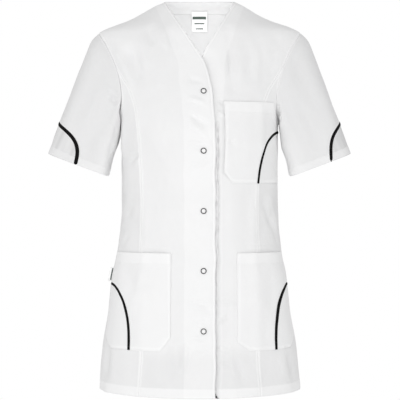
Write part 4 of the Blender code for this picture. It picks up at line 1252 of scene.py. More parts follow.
def hem_point(turn):
    """The hem ellipse, from its outer end (turn 0) over the front to its inner end (pi)."""
    wide = SLEEVE_HEM_HALF_WIDTH * np.array([math.cos(SLEEVE_HEM_TILT), 0, math.sin(SLEEVE_HEM_TILT)])
    deep = np.array([0, -SLEEVE_HEM_HALF_DEPTH, -SLEEVE_FRONT_DROP])
    n = SLEEVE_SQUARENESS
    reach = (abs(np.cos(turn)) ** n + abs(np.sin(turn)) ** n) ** (-1 / n)
    round_hem = (reach * np.cos(turn))[..., None] * wide + (reach * np.sin(turn))[..., None] * deep
    return np.array(SLEEVE_HEM_CENTRE) + round_hem


def sleeve_base(turn, row):
    """A point of the left sleeve: row 0 on the armhole, 1 at the hem."""
    turn, row = np.broadcast_arrays(np.asarray(turn, float), np.asarray(row, float))
    start = armhole_point(np.mod(turn, 2 * math.pi))
    end = hem_point(turn)
    out = unit(end - np.array(SLEEVE_HEM_CENTRE))
    roll = SLEEVE_HEAD_ROLL * np.cos(turn / 2) ** 2
    distance = row * np.linalg.norm(end - start, axis=-1)
    left_over = np.clip(1 - distance / SLEEVE_ROLL_LENGTH, 0, 1) ** 2
    middle = SLEEVE_MIDDLE_FULLNESS * 4 * row * (1 - row) * np.cos(turn / 2) ** 2
    fullness = roll * (1 - row - left_over) + middle
    return start + (end - start) * row[..., None] + out * fullness[..., None]


def sleeve_normal(turn, row):
    row = np.clip(row, 2 * SLEEVE_STEP, 1 - SLEEVE_STEP)
    across = sleeve_base(turn + SLEEVE_STEP, row) - sleeve_base(turn - SLEEVE_STEP, row)
    down = sleeve_base(turn, row + SLEEVE_STEP) - sleeve_base(turn, row - SLEEVE_STEP)
    return unit(np.cross(across, down))


hem_ring = hem_point(np.linspace(0, 2 * math.pi, RING_POINTS))
hem_round = np.linalg.norm(np.diff(hem_ring, axis=0), axis=1).sum()
print("round a sleeve's hem:", round(float(hem_round), 3), "m")

# %% The sleeve surface with its folds
def sleeve_fold_height(side, turn, row):
    total = np.zeros(np.shape(row))
    for fold in SLEEVE_FOLDS:
        away = np.degrees(turn) - fold.angle
        beyond = np.maximum(0, np.maximum(fold.row_1 - row, row - fold.row_2)) / SLEEVE_FOLD_FADE
        total += fold.height * np.exp(-((away / fold.half_angle) ** 2) - beyond**2)
    for crease in SLEEVE_CREASES:
        if crease.side == side:
            s_1, s_2 = [math.radians(t) * SLEEVE_RADIUS for t in (crease.turn_1, crease.turn_2)]
            ends = (s_1, crease.row_1 * SLEEVE_OUTER_LENGTH, s_2, crease.row_2 * SLEEVE_OUTER_LENGTH)
            place = turn * SLEEVE_RADIUS, row * SLEEVE_OUTER_LENGTH
            total += line_height(*place, ends, crease.half_width, crease.height, CREASE_FADE)
    return total * smoothstep(row / SLEEVE_SEAM_CALM)


def sleeve_point(side, turn, row, lift=0.0):
    """A point of a sleeve's outer face. Its armhole edge has the folds that the body has there."""
    turn, row = np.broadcast_arrays(np.asarray(turn, float), np.asarray(row, float))
    turned = np.mod(turn, 2 * math.pi)
    base = mirrored(sleeve_base(turn, row), side)
    normal = mirrored(sleeve_normal(turn, row), side)
    raised = sleeve_fold_height(side, turned, row) + ripple_height(base) + lift
    edge_angle = armhole_angle(turned)
    edge_z = armhole_z(turned)
    at_edge = fold_height(side * edge_angle, edge_z) * (1 - smoothstep(row / SLEEVE_SEAM_CALM))
    body_normal = mirrored(base_normal(edge_angle, edge_z), side)
    return base + raised[..., None] * normal + at_edge[..., None] * body_normal


print("top of the left sleeve:", sleeve_point(1, np.array([0.0]), np.array([0.5]))[0].round(3))

# %% Clear of the body
BODY_CLEARANCE = {-1: 0.0028, 1: 0.0085}
CLEAR_FROM_ROW = 0.015
CLEAR_FADE = 0.05
CLEAR_TURN = 105
CLEAR_TURN_FADE = 30


def kept_off_body(side, points, turn, row):
    """Moves the sleeve's points that would lie in the body out until they just clear it."""
    angle = np.arctan2(points[..., 0], -points[..., 1])
    surface = cloth_point(angle, points[..., 2])
    out = np.linalg.norm(points[..., :2], axis=-1)
    room = out - np.linalg.norm(surface[..., :2], axis=-1)
    below_arm = smoothstep((np.degrees(turn) - CLEAR_TURN) / CLEAR_TURN_FADE)
    below_arm = below_arm * smoothstep((360 - CLEAR_TURN - np.degrees(turn)) / CLEAR_TURN_FADE)
    push = np.maximum(0, BODY_CLEARANCE[side] - room) * smoothstep((row - CLEAR_FROM_ROW) / CLEAR_FADE)
    push = push * below_arm
    return points * np.stack([1 + push / out, 1 + push / out, np.ones(out.shape)], axis=-1)


print("the sleeves stay clear of the body by", list(BODY_CLEARANCE.values()), "m")

# %% The arch over the insert, and the sleeve's grid
def squared_arc(share, power):
    """A quarter of a squared ellipse as two lengths from 1 to 0 and from 0 to 1; even steps stay even."""
    swing = smoothstep(share) * math.pi / 2
    return np.clip(np.cos(swing), 0, 1) ** power, np.clip(np.sin(swing), 0, 1) ** power


def arch_points(side, inset=0.0):
    """The arch over the sleeve insert, as turns and rows, from its front foot over the top to the back."""
    half = np.linspace(0, 1, ARCH_COLUMNS // 2 + 1)
    across, up = squared_arc(half, ARCH_POWER[side])
    across = across * (1 - ARCH_LEAN[side] * up)
    across = np.concatenate([across, -across[-2::-1]])
    up = np.concatenate([up, up[-2::-1]])
    turn = ARCH_TWIST[side] + (ARCH_ANGLE - inset / SLEEVE_HEM_HALF_DEPTH) * across
    row = 1 - (ARCH_HEIGHT - inset / SLEEVE_OUTER_LENGTH) * up
    return turn, row


def sleeve_rows():
    """Shares of the way down, close together at the armhole seam and at the hem."""
    near = EDGE_STEPS / SLEEVE_OUTER_LENGTH
    hem = 1 - SLEEVE_HEM_STEPS / SLEEVE_INNER_LENGTH
    return np.concatenate([near, np.linspace(near[-1], hem[0], SLEEVE_ROWS)[1:-1], hem])


def sleeve_grid(side):
    """Turns and rows of the sleeve's points; its lower edge runs over the arch, then round the hem."""
    arch_turn, arch_row = arch_points(side)
    rest = np.linspace(arch_turn[0], 2 * math.pi + arch_turn[-1], SLEEVE_COLUMNS - ARCH_COLUMNS + 1)
    foot_turn = np.concatenate([arch_turn[::-1], rest[1:]])
    foot_row = np.concatenate([arch_row[::-1], np.ones(len(rest) - 1)])
    half_arch = ARCH_COLUMNS // 2
    steps = np.arange(-half_arch, SLEEVE_COLUMNS - half_arch + 1)
    head_turn = steps * math.pi / ARMHOLE_STEPS
    down = sleeve_rows()[:, None]
    turn = head_turn + (foot_turn - head_turn) * smoothstep(down)
    return turn, foot_row * down, foot_row


print("rows of a sleeve:", len(sleeve_rows()))

# %% A sleeve
SLEEVE_LAYERS = 0.95
SLEEVE_SEAM_LAYERS = 0.2
SLEEVE_HEM_LAYERS = 0.25
ARCH_LAYERS = 0.4
UNDERARM_PAINTED_LIGHT = {-1: 1.5, 1: 2.1}
UNDERARM_TURN = 172
UNDERARM_HALF_TURN = 34


def sleeve(side, word):
    turn, row, foot_row = sleeve_grid(side)
    from_top = lengths_up(sleeve_base(turn, row))
    from_foot = from_top[-1:] - from_top
    full_length = np.linalg.norm(hem_point(turn) - armhole_point(np.mod(turn, 2 * math.pi)), axis=-1)
    above_hem = (1 - row) * full_length
    on_arch = foot_row < 1 - DOUBLES
    lift = seam_lift(from_top) + hem_lift(above_hem, SLEEVE_HEM_BAND)
    lift = lift + np.where(on_arch, seam_lift(from_foot), 0)
    layers = SLEEVE_LAYERS + SLEEVE_SEAM_LAYERS * band(from_top, SEAM_ALLOWANCE)
    layers = layers + SLEEVE_HEM_LAYERS * band(above_hem, SLEEVE_HEM_BAND)
    layers = layers + np.where(on_arch, ARCH_LAYERS * band(from_foot, SEAM_ALLOWANCE), 0)
    # Painted light on the sleeve's underside, in the narrow gap next to the body.
    layers = layers + UNDERARM_PAINTED_LIGHT[side] * bell((np.degrees(turn) - UNDERARM_TURN) / UNDERARM_HALF_TURN)
    points = kept_off_body(side, sleeve_point(side, turn, row, lift), turn, row)
    points[:, -1] = points[:, 0]
    normals = mirrored(sleeve_normal(turn, row), side)
    cloth_piece(f"sleeve_{word}_cloth", points, normals, layers, f"sleeve_{word}", closed=True)


# %% A sleeve's insert
INSERT_ROWS = 24
INSERT_PAINTED_SHADE = {-1: -0.04, 1: -0.09}
INSERT_HEM_LAYERS = 0.3
INSERT_SHADE_STREAKS = 0.18
STREAKS_ROUND = 9
STREAKS_DOWN = 3


def sleeve_insert(side, word):
    turn, row = arch_points(side, inset=SEAM_GAP)
    for line in (turn, row):
        line[0] = (line[0] + line[1]) / 2
        line[-1] = (line[-1] + line[-2]) / 2
    rows = row + (1 - row) * np.linspace(0, 1, INSERT_ROWS + 1)[:, None]
    turns = np.broadcast_to(turn, rows.shape)
    above_hem = (1 - rows) * SLEEVE_OUTER_LENGTH
    from_arch = (rows - row) * SLEEVE_OUTER_LENGTH
    lift = hem_lift(above_hem, SLEEVE_HEM_BAND) + seam_lift(from_arch)
    # Painted shade: the insert is set a little below nought layers, mixing in near-black painted shade, in
    # streaks like the shade of small folds.
    shade_streaks = noise_at(turns * STREAKS_ROUND, rows * STREAKS_DOWN, float(side))
    layers = INSERT_PAINTED_SHADE[side] + INSERT_SHADE_STREAKS * shade_streaks
    layers = layers + INSERT_HEM_LAYERS * band(above_hem, SLEEVE_HEM_BAND)
    layers = layers + ARCH_LAYERS * band(from_arch, SEAM_ALLOWANCE)
    normals = mirrored(sleeve_normal(turns, rows), side)
    points = sleeve_point(side, turns, rows, lift)
    cloth_piece(f"sleeve_insert_{word}_cloth", points, normals, layers, f"sleeve_insert_{word}")


for side, word in SIDES:
    sleeve(side, word)
    sleeve_insert(side, word)

# %% [markdown]
# ## Facings
# A facing is a second layer behind an edge, cut to the same line. It shows inside the neck and below the
# hem's edge. It is made from the panel's own rows, moved in by one thickness of cloth. The left one also
# keeps away from the groove beside the right front's edge.

# %% Facings
FACING_COLUMNS = 14
FACING_GAP = 0.0004
FACING_INSET = 0.0008
FACING_ABOVE_HEM = 0.002
GROOVE_ROOM = 0.0090
GROOVE_ROOM_WIDTH = 0.014
NECK_FACING_DEPTH = 0.024
INNER_LAYERS = 2.0
NECK_FACING_LAYERS = 1.4


def facing_piece(name, angle, z, lift, layers):
    points = cloth_point(angle, z, lift)
    cloth_piece(f"{name}_cloth", points, base_normal(angle, z), np.full(z.shape, layers), name)


for side, word in SIDES:
    front_angle, front_z = front_rows(side)
    length = lengths_across(base_point(front_angle, front_z))
    width = smooth_value(FACING_WIDTHS, "width", front_z[:, :1])
    wanted = FACING_INSET + np.linspace(0, 1, FACING_COLUMNS + 1) * (width - FACING_INSET)
    angle = np.array([np.interp(*row) for row in zip(wanted, length, front_angle)])
    z = np.array([np.interp(*row) for row in zip(wanted, length, front_z)])
    inside = z[:, 0] > HEM_Z + FACING_ABOVE_HEM
    angle = angle[inside]
    z = z[inside]
    lift = lap_lift(side, angle, z) - CLOTH - FACING_GAP
    if side > 0:
        away = base_point(angle, z)[..., 0] - smooth_value(FRONT_EDGES, "right_x", z)
        below_groove = smoothstep((GUTTER_TOP_Z + GUTTER_FADE - z) / GUTTER_FADE)
        lift = lift - GROOVE_ROOM * bell(away / GROOVE_ROOM_WIDTH) * below_groove
    facing_piece(f"facing_{word}", angle, z, lift, INNER_LAYERS)

back_middle = back_z.shape[1] // 2
neck_columns = slice(back_middle - NECK_COLUMNS, back_middle + NECK_COLUMNS + 1)
near_neck = back_z[-1, back_middle] - back_z[:, back_middle] < NECK_FACING_DEPTH
angle, z = [grid[near_neck][:, neck_columns] for grid in (back_angle, back_z)]
facing_piece("facing_back_neck", angle, z, -CLOTH - FACING_GAP, NECK_FACING_LAYERS)

# %% [markdown]
# ## Pockets
# Each pocket is a patch with a hemmed mouth. Its lower outer corner is an insert behind a quarter-ellipse
# of piping. The patch is sewn flat at its edges, stands off the front in the middle and gapes at the mouth.

# %% Measurements of the pockets
Pocket = namedtuple(
    "Pocket",
    "name side inner_x top bottom outer_angle arch_angle arch_top arch_power chamfer_x chamfer_z "
    "corner_angle corner_z puff",
)
POCKETS = (
    Pocket("hip_right", -1, 0.0536, -0.488, -0.672, 80, 52.5, -0.55, 0.84, 0.0739, -0.646, 69, -0.646, 0.0026),
    Pocket("hip_left", 1, 0.0705, -0.488, -0.672, 80, 57, -0.55, 0.92, 0.0950, -0.655, 70, -0.646, 0.0026),
    Pocket("chest", 1, 0.0456, -0.202, -0.3565, 78, 47.5, -0.2575, 0.82, 0.0623, -0.336, 78, -0.3565, 0.0012),
)
print("pockets:", [pocket.name for pocket in POCKETS])

# %% The outline of a pocket
POCKET_EDGE_GAP = 0.0001
POCKET_ARMHOLE_MARGIN = math.radians(5)
POCKET_CORNER_REACH = 0.010
POCKET_CORNER_STEPS = 60
POCKET_BAND = 0.021
POCKET_HEM = 0.007
CHAMFER_COLUMNS = 10
BOTTOM_COLUMNS = 14
ARCH_SIDE_COLUMNS = 26
ARCH_PATH_STEPS = 60
EVEN_POCKET_ROWS = 44
POCKET_INSERT_ROWS = 30
POCKET_LENGTH = 0.15
POCKET_FOOT_STEPS = np.array([0.0, 0.0006, 0.0015, 0.003, 0.005, 0.0062, 0.0075])
POCKET_MOUTH_STEPS = np.array(
    [0.0245, 0.0225, 0.0215, 0.0205, 0.019, 0.015, 0.010, 0.006, 0.003, 0.0012, 0.0]
)


def pocket_outer_angle(pocket, z):
    """The outer edge, which follows the armhole above the underarm."""
    straight = math.radians(pocket.outer_angle)
    if pocket.top < UNDERARM_Z:
        return np.full(np.shape(z), straight)
    beside = armhole_angle_at(np.maximum(z, UNDERARM_Z)) - POCKET_ARMHOLE_MARGIN
    return np.where(z > UNDERARM_Z, np.minimum(straight, beside), straight)


def pocket_top_z(pocket, angle):
    """The mouth's height, lower where the armhole cuts the outer corner off."""
    z = np.linspace(pocket.top, UNDERARM_Z - POCKET_CORNER_REACH, POCKET_CORNER_STEPS)
    edge = pocket_outer_angle(pocket, z)
    return np.where(angle <= edge[0], pocket.top, np.interp(angle, edge, z))


def pocket_arch(pocket, columns, inset=0.0):
    """The piped seam: a squared quarter-ellipse from the bottom edge up to the outer edge."""
    across, up = squared_arc(np.linspace(0, 1, columns + 1), pocket.arch_power)
    outer = math.radians(pocket.outer_angle)
    foot = math.radians(pocket.arch_angle)
    reach = outer - foot - angle_of(inset, foot, pocket.bottom)
    angle = outer - reach * across
    z = pocket.bottom + (pocket.arch_top - inset - pocket.bottom) * up
    return angle, z


def pocket_foot_z(pocket, angle):
    """The bottom edge, which rises to the outer edge where the corner is cut off."""
    corner = math.radians(pocket.corner_angle)
    outer = math.radians(pocket.outer_angle)
    share = np.clip((angle - corner) / max(outer - corner, SMALL_STEP), 0, 1)
    return pocket.bottom + (pocket.corner_z - pocket.bottom) * share


print("a hip pocket's arch starts at", pocket_arch(POCKETS[0], ARCH_PATH_STEPS)[1][0])

# %% The form of a pocket
PUFF_LEAN = 0.75
PATCH_RIM = 0.0004
PATCH_RIM_WIDTH = 0.0016
PATCH_TURNING = 0.0002


def pocket_puff(pocket, angle, z):
    """How far the patch stands off the front, besides its cloth: most in the middle of its mouth."""
    inner = angle_at(pocket.inner_x, z)
    outer = math.radians(pocket.outer_angle)
    u = np.clip((angle - inner) / (outer - inner), 0, 1)
    v = np.clip((z - pocket.bottom) / (pocket.top - pocket.bottom), 0, 1)
    u = u**PUFF_LEAN
    return POCKET_EDGE_GAP + pocket.puff * 4 * u * (1 - u) * v * (2 - v)


def pocket_rows():
    edge = POCKET_FOOT_STEPS / POCKET_LENGTH
    top = 1 - POCKET_MOUTH_STEPS / POCKET_LENGTH
    return np.concatenate([edge, np.linspace(edge[-1], top[0], EVEN_POCKET_ROWS)[1:-1], top])


def near_edges(points, sides):
    """The least length to the sewn edges of a patch: its first column, its foot, its last column."""
    across = lengths_across(points)
    lengths = {"start": across, "end": across[:, -1:] - across, "foot": lengths_up(points)}
    return np.min([lengths[side] for side in sides], axis=0)


def patch_lift(from_edge):
    """Turned-in edge of a patch: rounded at the rim, doubled for the width of its turning."""
    return PATCH_TURNING * band(from_edge, POCKET_HEM) - PATCH_RIM * bell(from_edge / PATCH_RIM_WIDTH)


def pocket_piece(name, pocket, angle, z, lift, layers):
    angle = pocket.side * angle
    cloth_piece(f"{name}_cloth", cloth_point(angle, z, lift), base_normal(angle, z), layers, name)


print("a hip pocket has", len(pocket_rows()), "rows")

# %% Pockets
MOUTH_RISE = 0.0004
MOUTH_FOLD = 0.0005
MOUTH_FOLD_WIDTH = 0.001
PATCH_LAYERS = 1.55
PATCH_EDGE_LAYERS = 0.3
POCKET_INSERT_LAYERS = 1.5
POCKET_INSERT_EDGE_LAYERS = 0.4

for pocket in POCKETS:
    arch_angle, arch_z = pocket_arch(pocket, ARCH_SIDE_COLUMNS)
    chamfer_angle = float(angle_at(pocket.chamfer_x, pocket.bottom))
    inner = float(angle_at(pocket.inner_x, pocket.chamfer_z))
    slant = np.linspace(0, 1, CHAMFER_COLUMNS + 1)[:-1]
    bottom = np.linspace(chamfer_angle, arch_angle[0], BOTTOM_COLUMNS + 1)[:-1]
    foot_angle = np.concatenate([inner + (chamfer_angle - inner) * slant, bottom, arch_angle])
    slant_z = pocket.chamfer_z + (pocket.bottom - pocket.chamfer_z) * slant
    foot_z = np.concatenate([slant_z, np.full(len(bottom), pocket.bottom), arch_z])
    head_inner = float(angle_at(pocket.inner_x, pocket.top))
    along_foot = lengths_across(base_point(foot_angle, foot_z)[None])[0]
    spread = np.minimum((foot_angle - inner) / (foot_angle[-1] - inner), along_foot / along_foot[-1])
    head_angle = head_inner + (foot_angle[-1] - head_inner) * spread
    head_z = pocket_top_z(pocket, head_angle)
    up = pocket_rows()[:, None]
    z = foot_z + (head_z - foot_z) * up
    angle = foot_angle + (head_angle - foot_angle) * up
    base = base_point(angle, z)
    from_edge = near_edges(base, ("start", "foot", "end"))
    below_mouth = lengths_up(base)[-1:] - lengths_up(base)
    mouth = MOUTH_RISE * band(below_mouth, POCKET_BAND) - MOUTH_FOLD * bell(below_mouth / MOUTH_FOLD_WIDTH)
    lift = pocket_puff(pocket, angle, z) + CLOTH + patch_lift(from_edge) + mouth
    doubled = band(from_edge, POCKET_HEM) + band(below_mouth, POCKET_BAND)
    layers = PATCH_LAYERS + PATCH_EDGE_LAYERS * doubled
    pocket_piece(f"pocket_{pocket.name}", pocket, angle, z, lift, layers)

    angle, top = pocket_arch(pocket, ARCH_SIDE_COLUMNS, inset=SEAM_GAP)
    angle[0] = (angle[0] + angle[1]) / 2
    top[0] = (top[0] + top[1]) / 2
    foot = pocket_foot_z(pocket, angle)
    z = foot + (top - foot) * np.linspace(0, 1, POCKET_INSERT_ROWS)[:, None]
    angle = np.broadcast_to(angle, z.shape)
    from_edge = near_edges(base_point(angle, z), ("foot", "end"))
    lift = pocket_puff(pocket, angle, z) + CLOTH + patch_lift(from_edge)
    layers = POCKET_INSERT_LAYERS + POCKET_INSERT_EDGE_LAYERS * band(from_edge, POCKET_HEM)
    pocket_piece(f"pocket_{pocket.name}_insert", pocket, angle, z, lift, layers)

# %% [markdown]
# ## Piping
# Piping is a cord wrapped in a bias strip of cloth and caught in the seam. Here a small half-round profile
# is swept along each arch, on the same grid that makes the cloth, and its surface has the fine diagonal
# ribs of bias-cut cloth.

# %% Piping material
piping, shader, start = new_material("black_bias_cloth")
u, v = cut_lengths(start)
rib = ((u + v) * turns_per_metre).sine()
lint = cloud(start, scale=900.0, detail=3.0)
feed(shader, {
    "Base Color": (rib * 0.2 + lint * 0.6).mixed(grey(0.0015, 0.0001), grey(0.0050, 0.0002)),
    "Roughness": lint * 0.2 + 0.65,
    "Normal": (rib * 0.00005).bump(0.7),
    "Specular IOR Level": 0.12,
})
print("piping material has", len(piping.node_tree.nodes), "nodes")

# %% Piping
PIPING_HEIGHT = 0.0019
PIPING_SIDES = 8
PIPING_SINK = 0.0006
PIPING_END = 0.02
PIPING_LEAST = 0.05

# Half widths at a piping's start, middle and end.
PIPING_HALF_WIDTHS = {
    "sleeve_right": (0.0038, 0.0032, 0.0028),
    "sleeve_left": (0.0030, 0.0032, 0.0028),
    "hip_right": (0.0030, 0.0030, 0.0022),
    "hip_left": (0.0028, 0.0042, 0.0024),
    "chest": (0.0024, 0.0028, 0.0026),
}


def sleeve_arch_path(side, inset=0.0):
    """Points and normals on a sleeve along its arch, and their rows."""
    turn, row = arch_points(side, inset)
    normal = mirrored(sleeve_normal(turn, row), side)
    return np.concatenate([sleeve_point(side, turn, row), normal], axis=1), row


def pocket_arch_path(pocket, inset=0.0):
    """Points and normals on a pocket along its arch, and their heights."""
    angle, z = pocket_arch(pocket, ARCH_PATH_STEPS, inset)
    points = cloth_point(pocket.side * angle, z, pocket_puff(pocket, angle, z) + CLOTH)
    return np.concatenate([points, base_normal(pocket.side * angle, z)], axis=1), z


def piping_piece(name, node, path, half_widths):
    """A half-round cord along a path of points and normals."""
    middle, normal = path[:, :3], path[:, 3:]
    across = unit(np.cross(unit(np.gradient(middle, axis=0)), normal))
    share = np.linspace(0, 1, len(path))
    half = np.interp(share, [0, 0.5, 1], half_widths)
    from_end = np.minimum(1, np.minimum(share, 1 - share) / PIPING_END)
    round_off = np.sqrt(np.clip(1 - (1 - from_end) ** 2, PIPING_LEAST, 1))
    swing = np.linspace(0, 2 * math.pi, 2 * PIPING_SIDES + 1)
    wide = np.cos(swing)[None, :, None] * (half * round_off)[:, None, None] * across[:, None]
    high = np.sin(swing)[None, :, None] * PIPING_HEIGHT / 2 * round_off[:, None, None] * normal[:, None]
    rise = (PIPING_HEIGHT / 2 - PIPING_SINK) * normal[:, None]
    mesh = grid_mesh(name, middle[:, None] + wide + high + rise)
    joined(mesh, capped=True)
    finish_piece(name, mesh, piping, [node])


for side, word in SIDES:
    path, row = sleeve_arch_path(side)
    piping_piece(f"sleeve_{word}_piping", f"sleeve_piping_{word}", path, PIPING_HALF_WIDTHS[f"sleeve_{word}"])
for pocket in POCKETS:
    path, z = pocket_arch_path(pocket)
    name = f"pocket_{pocket.name}"
    piping_piece(f"{name}_cord", f"{name}_piping", path, PIPING_HALF_WIDTHS[pocket.name])

# %% [markdown]
# ## Stitches
# Every hem, edge and seam is topstitched. A stitch is 2.6 mm of thread lying on the cloth, pulled down at
# both ends, with a short gap before the next one. Each is a small stretched sphere of twenty faces. A line
# of them follows a grid's rows or columns at a fixed distance from the edge, as a sewing machine's foot
# does.

# %% Thread material
thread, shader, start = new_material("white_thread")
fuzz = cloud(start, scale=2500.0, detail=2.0)
feed(shader, {
    "Base Color": fuzz.mixed(grey(0.72), grey(0.84)),
    "Roughness": fuzz * 0.2 + 0.5,
    "Normal": (fuzz * 0.0001).bump(0.5),
    "Sheen Weight": 0.3,
})
print("thread material has", len(thread.node_tree.nodes), "nodes")

# %% Lines of stitches
STITCH_LENGTH = 0.0026
STITCH_GAP = 0.0006
THREAD_RADIUS = 0.00022
EDGE_STITCH = 0.0060
SEAM_STITCH = 0.0045
PATCH_STITCH = 0.0022
ARCH_STITCH = 0.0058
LEAST_ROOM = 0.0030


def stitch_path(name, distance, from_end=False, turned=False, rows=slice(None), columns=slice(None)):
    """Points and normals at a distance along the rows of a piece, or along its columns if turned."""
    surface = surfaces[name][rows, columns]
    if turned:
        surface = surface.swapaxes(0, 1)
    if from_end:
        surface = surface[:, ::-1]
    path = [
        [np.interp(distance, line, values) for values in row.T]
        for line, row in zip(lengths_across(surface[..., :3]), surface)
        if line[-1] > distance + LEAST_ROOM
    ]
    return np.array(path)


def sew(bm, path):
    """Adds a line of stitches along a path of points and normals."""
    along = lengths_across(path[None, :, :3])[0]
    guide = np.concatenate([path, np.gradient(path[:, :3], axis=0)], axis=1)
    pitch = STITCH_LENGTH + STITCH_GAP
    for i in range(int(along[-1] / pitch)):
        at = [np.interp((i + 0.5) * pitch, along, values) for values in guide.T]
        centre, normal, tangent = Vector(at[:3]), Vector(at[3:6]).normalized(), Vector(at[6:]).normalized()
        side = normal.cross(tangent)
        axes = (tangent * (STITCH_LENGTH / 2), side * THREAD_RADIUS, normal * THREAD_RADIUS)
        placing = Matrix([(*row, c) for row, c in zip(zip(*axes), centre)] + [(0, 0, 0, 1)])
        bmesh.ops.create_icosphere(bm, subdivisions=1, radius=1.0, matrix=placing)


def stitches(name, paths):
    bm = bmesh.new()
    for path in paths:
        sew(bm, path)
    finish_piece(name, mesh_of(bm, name), thread)


print("a stitch every", STITCH_LENGTH + STITCH_GAP, "m")

# %% Stitches on fronts and back
SKIRT_COUNT = len(skirt_levels())
EDGES_CROSS_Z = FRONT_EDGES[2].z
below_underarm = slice(0, SKIRT_COUNT)
above_underarm = slice(SKIRT_COUNT, None)

left_edge = stitch_path("front_left_cloth", EDGE_STITCH)
paths = [stitch_path("front_right_cloth", EDGE_STITCH), left_edge[left_edge[:, 2] > EDGES_CROSS_Z]]
for side, word in SIDES:
    front = f"front_{word}_cloth"
    side_front = f"side_front_{word}_cloth"
    paths.append(stitch_path(front, SEAM_STITCH, from_end=True))
    paths.append(stitch_path(side_front, SEAM_STITCH, from_end=True, rows=above_underarm))
    paths.append(stitch_path(front, HEM_BAND, turned=True))
    paths.append(stitch_path(side_front, HEM_BAND, turned=True, rows=below_underarm))
stitches("stitches_front", paths)

beside_neck = (slice(0, neck_columns.start), slice(neck_columns.stop, None))
paths = [
    stitch_path("back_cloth", HEM_BAND, turned=True),
    stitch_path("back_cloth", SEAM_STITCH, rows=above_underarm),
    stitch_path("back_cloth", SEAM_STITCH, from_end=True, rows=above_underarm),
    stitch_path("back_cloth", SEAM_STITCH, from_end=True, turned=True, columns=beside_neck[0]),
    stitch_path("back_cloth", SEAM_STITCH, from_end=True, turned=True, columns=beside_neck[1]),
    stitch_path("back_cloth", EDGE_STITCH, from_end=True, turned=True, columns=neck_columns),
]
stitches("stitches_back", paths)

# %% Stitches on sleeves and pockets
beside_arch = slice(ARCH_COLUMNS, None)
on_foot = slice(0, CHAMFER_COLUMNS + BOTTOM_COLUMNS)

paths = []
for side, word in SIDES:
    sleeve = f"sleeve_{word}_cloth"
    insert = f"sleeve_insert_{word}_cloth"
    paths.append(stitch_path(sleeve, SLEEVE_HEM_BAND, from_end=True, turned=True, columns=beside_arch))
    paths.append(stitch_path(insert, SLEEVE_HEM_BAND, from_end=True, turned=True))
    path, row = sleeve_arch_path(side, inset=-ARCH_STITCH)
    paths.append(path[row < 1 - SLEEVE_STEP])
stitches("stitches_sleeves", paths)

paths = []
for pocket in POCKETS:
    patch = f"pocket_{pocket.name}_cloth"
    insert = f"pocket_{pocket.name}_insert_cloth"
    paths.append(stitch_path(patch, PATCH_STITCH))
    paths.append(stitch_path(patch, PATCH_STITCH, turned=True, columns=on_foot))
    paths.append(stitch_path(patch, POCKET_BAND, from_end=True, turned=True))
    paths.append(stitch_path(insert, PATCH_STITCH, from_end=True))
    paths.append(stitch_path(insert, PATCH_STITCH, turned=True))
    path, z = pocket_arch_path(pocket, inset=-ARCH_STITCH)
    paths.append(path[z > pocket.bottom + LEAST_ROOM])
stitches("stitches_pockets", paths)

# %% [markdown]
# ## Ring snaps
# Each snap shows a pressed metal ring with a small mound of cloth inside it. The ring is a rounded profile
# spun about its axis. The sockets between the fronts keep their CAD shape and get the same metal.

# %% Metal
metal, shader, start = new_material("nickel_plate")
# The near-black base colour is painted reflection: the ring looks as if it mirrored dark surroundings, though
# the studio round it is white.
grain = cloud(start, scale=700.0, detail=3.0)
feed(shader, {
    "Base Color": grain.mixed(grey(0.030, 0.001), grey(0.090)),
    "Metallic": 1.0,
    "Roughness": grain * 0.12 + 0.20,
})
print("metal has", len(metal.node_tree.nodes), "nodes")

# %% Rings
SNAP_COUNT = 5
SNAP_X = 0.0078
SNAP_TOP_Z = -0.183
SNAP_SPACING = 0.1128
RING_OUTER = 0.0056
RING_INNER = 0.0042
RING_HEIGHT = 0.0013
RING_SINK = 0.0002
RING_FLAT = -0.5
RING_SIDES = 12
RING_STEPS = 48
MOUND_HEIGHT = 0.0009
MOUND_LAYERS_AND_PAINTED_LIGHT = 3.5
MOUND_SIDES = 24
MOUND_RINGS = 10


def placed(bm, centre, normal):
    """Turns a shape modelled about +Z to the normal and sets it at its centre."""
    side = unit(np.cross([0.0, 0.0, 1.0], normal))
    up = np.cross(normal, side)
    for vert in bm.verts:
        vert.co = centre + side * vert.co.x + up * vert.co.y + normal * vert.co.z


def ring_mesh(name, centre, normal):
    bm = bmesh.new()
    middle = (RING_OUTER + RING_INNER) / 2
    bmesh.ops.create_circle(bm, segments=RING_SIDES, radius=1.0)
    for vert in bm.verts:
        across = vert.co.x * (RING_OUTER - RING_INNER) / 2
        height = max(vert.co.y, RING_FLAT) * RING_HEIGHT + RING_HEIGHT / 2 - RING_SINK
        vert.co = (middle + across, 0.0, height)
    bmesh.ops.spin(
        bm,
        geom=bm.edges[:],
        cent=(0, 0, 0),
        axis=(0, 0, 1),
        angle=2 * math.pi,
        steps=RING_STEPS,
        use_merge=True,
    )
    bmesh.ops.recalc_face_normals(bm, faces=bm.faces)
    placed(bm, centre, normal)
    return mesh_of(bm, name)


def mound_mesh(name, centre, normal):
    bm = bmesh.new()
    bmesh.ops.create_uvsphere(bm, u_segments=MOUND_SIDES, v_segments=MOUND_RINGS, radius=1.0)
    for vert in bm.verts:
        vert.co = (vert.co.x * RING_INNER, vert.co.y * RING_INNER, vert.co.z * MOUND_HEIGHT)
    placed(bm, centre, normal)
    mesh = mesh_of(bm, name)
    set_uv(mesh, np.array([mesh.vertices[loop.vertex_index].co.xz for loop in mesh.loops]))
    # The mound's tone is partly its layers of cloth and partly painted light against the shade inside the
    # ring.
    set_layers(mesh, np.full(len(mesh.vertices), MOUND_LAYERS_AND_PAINTED_LIGHT))
    return mesh


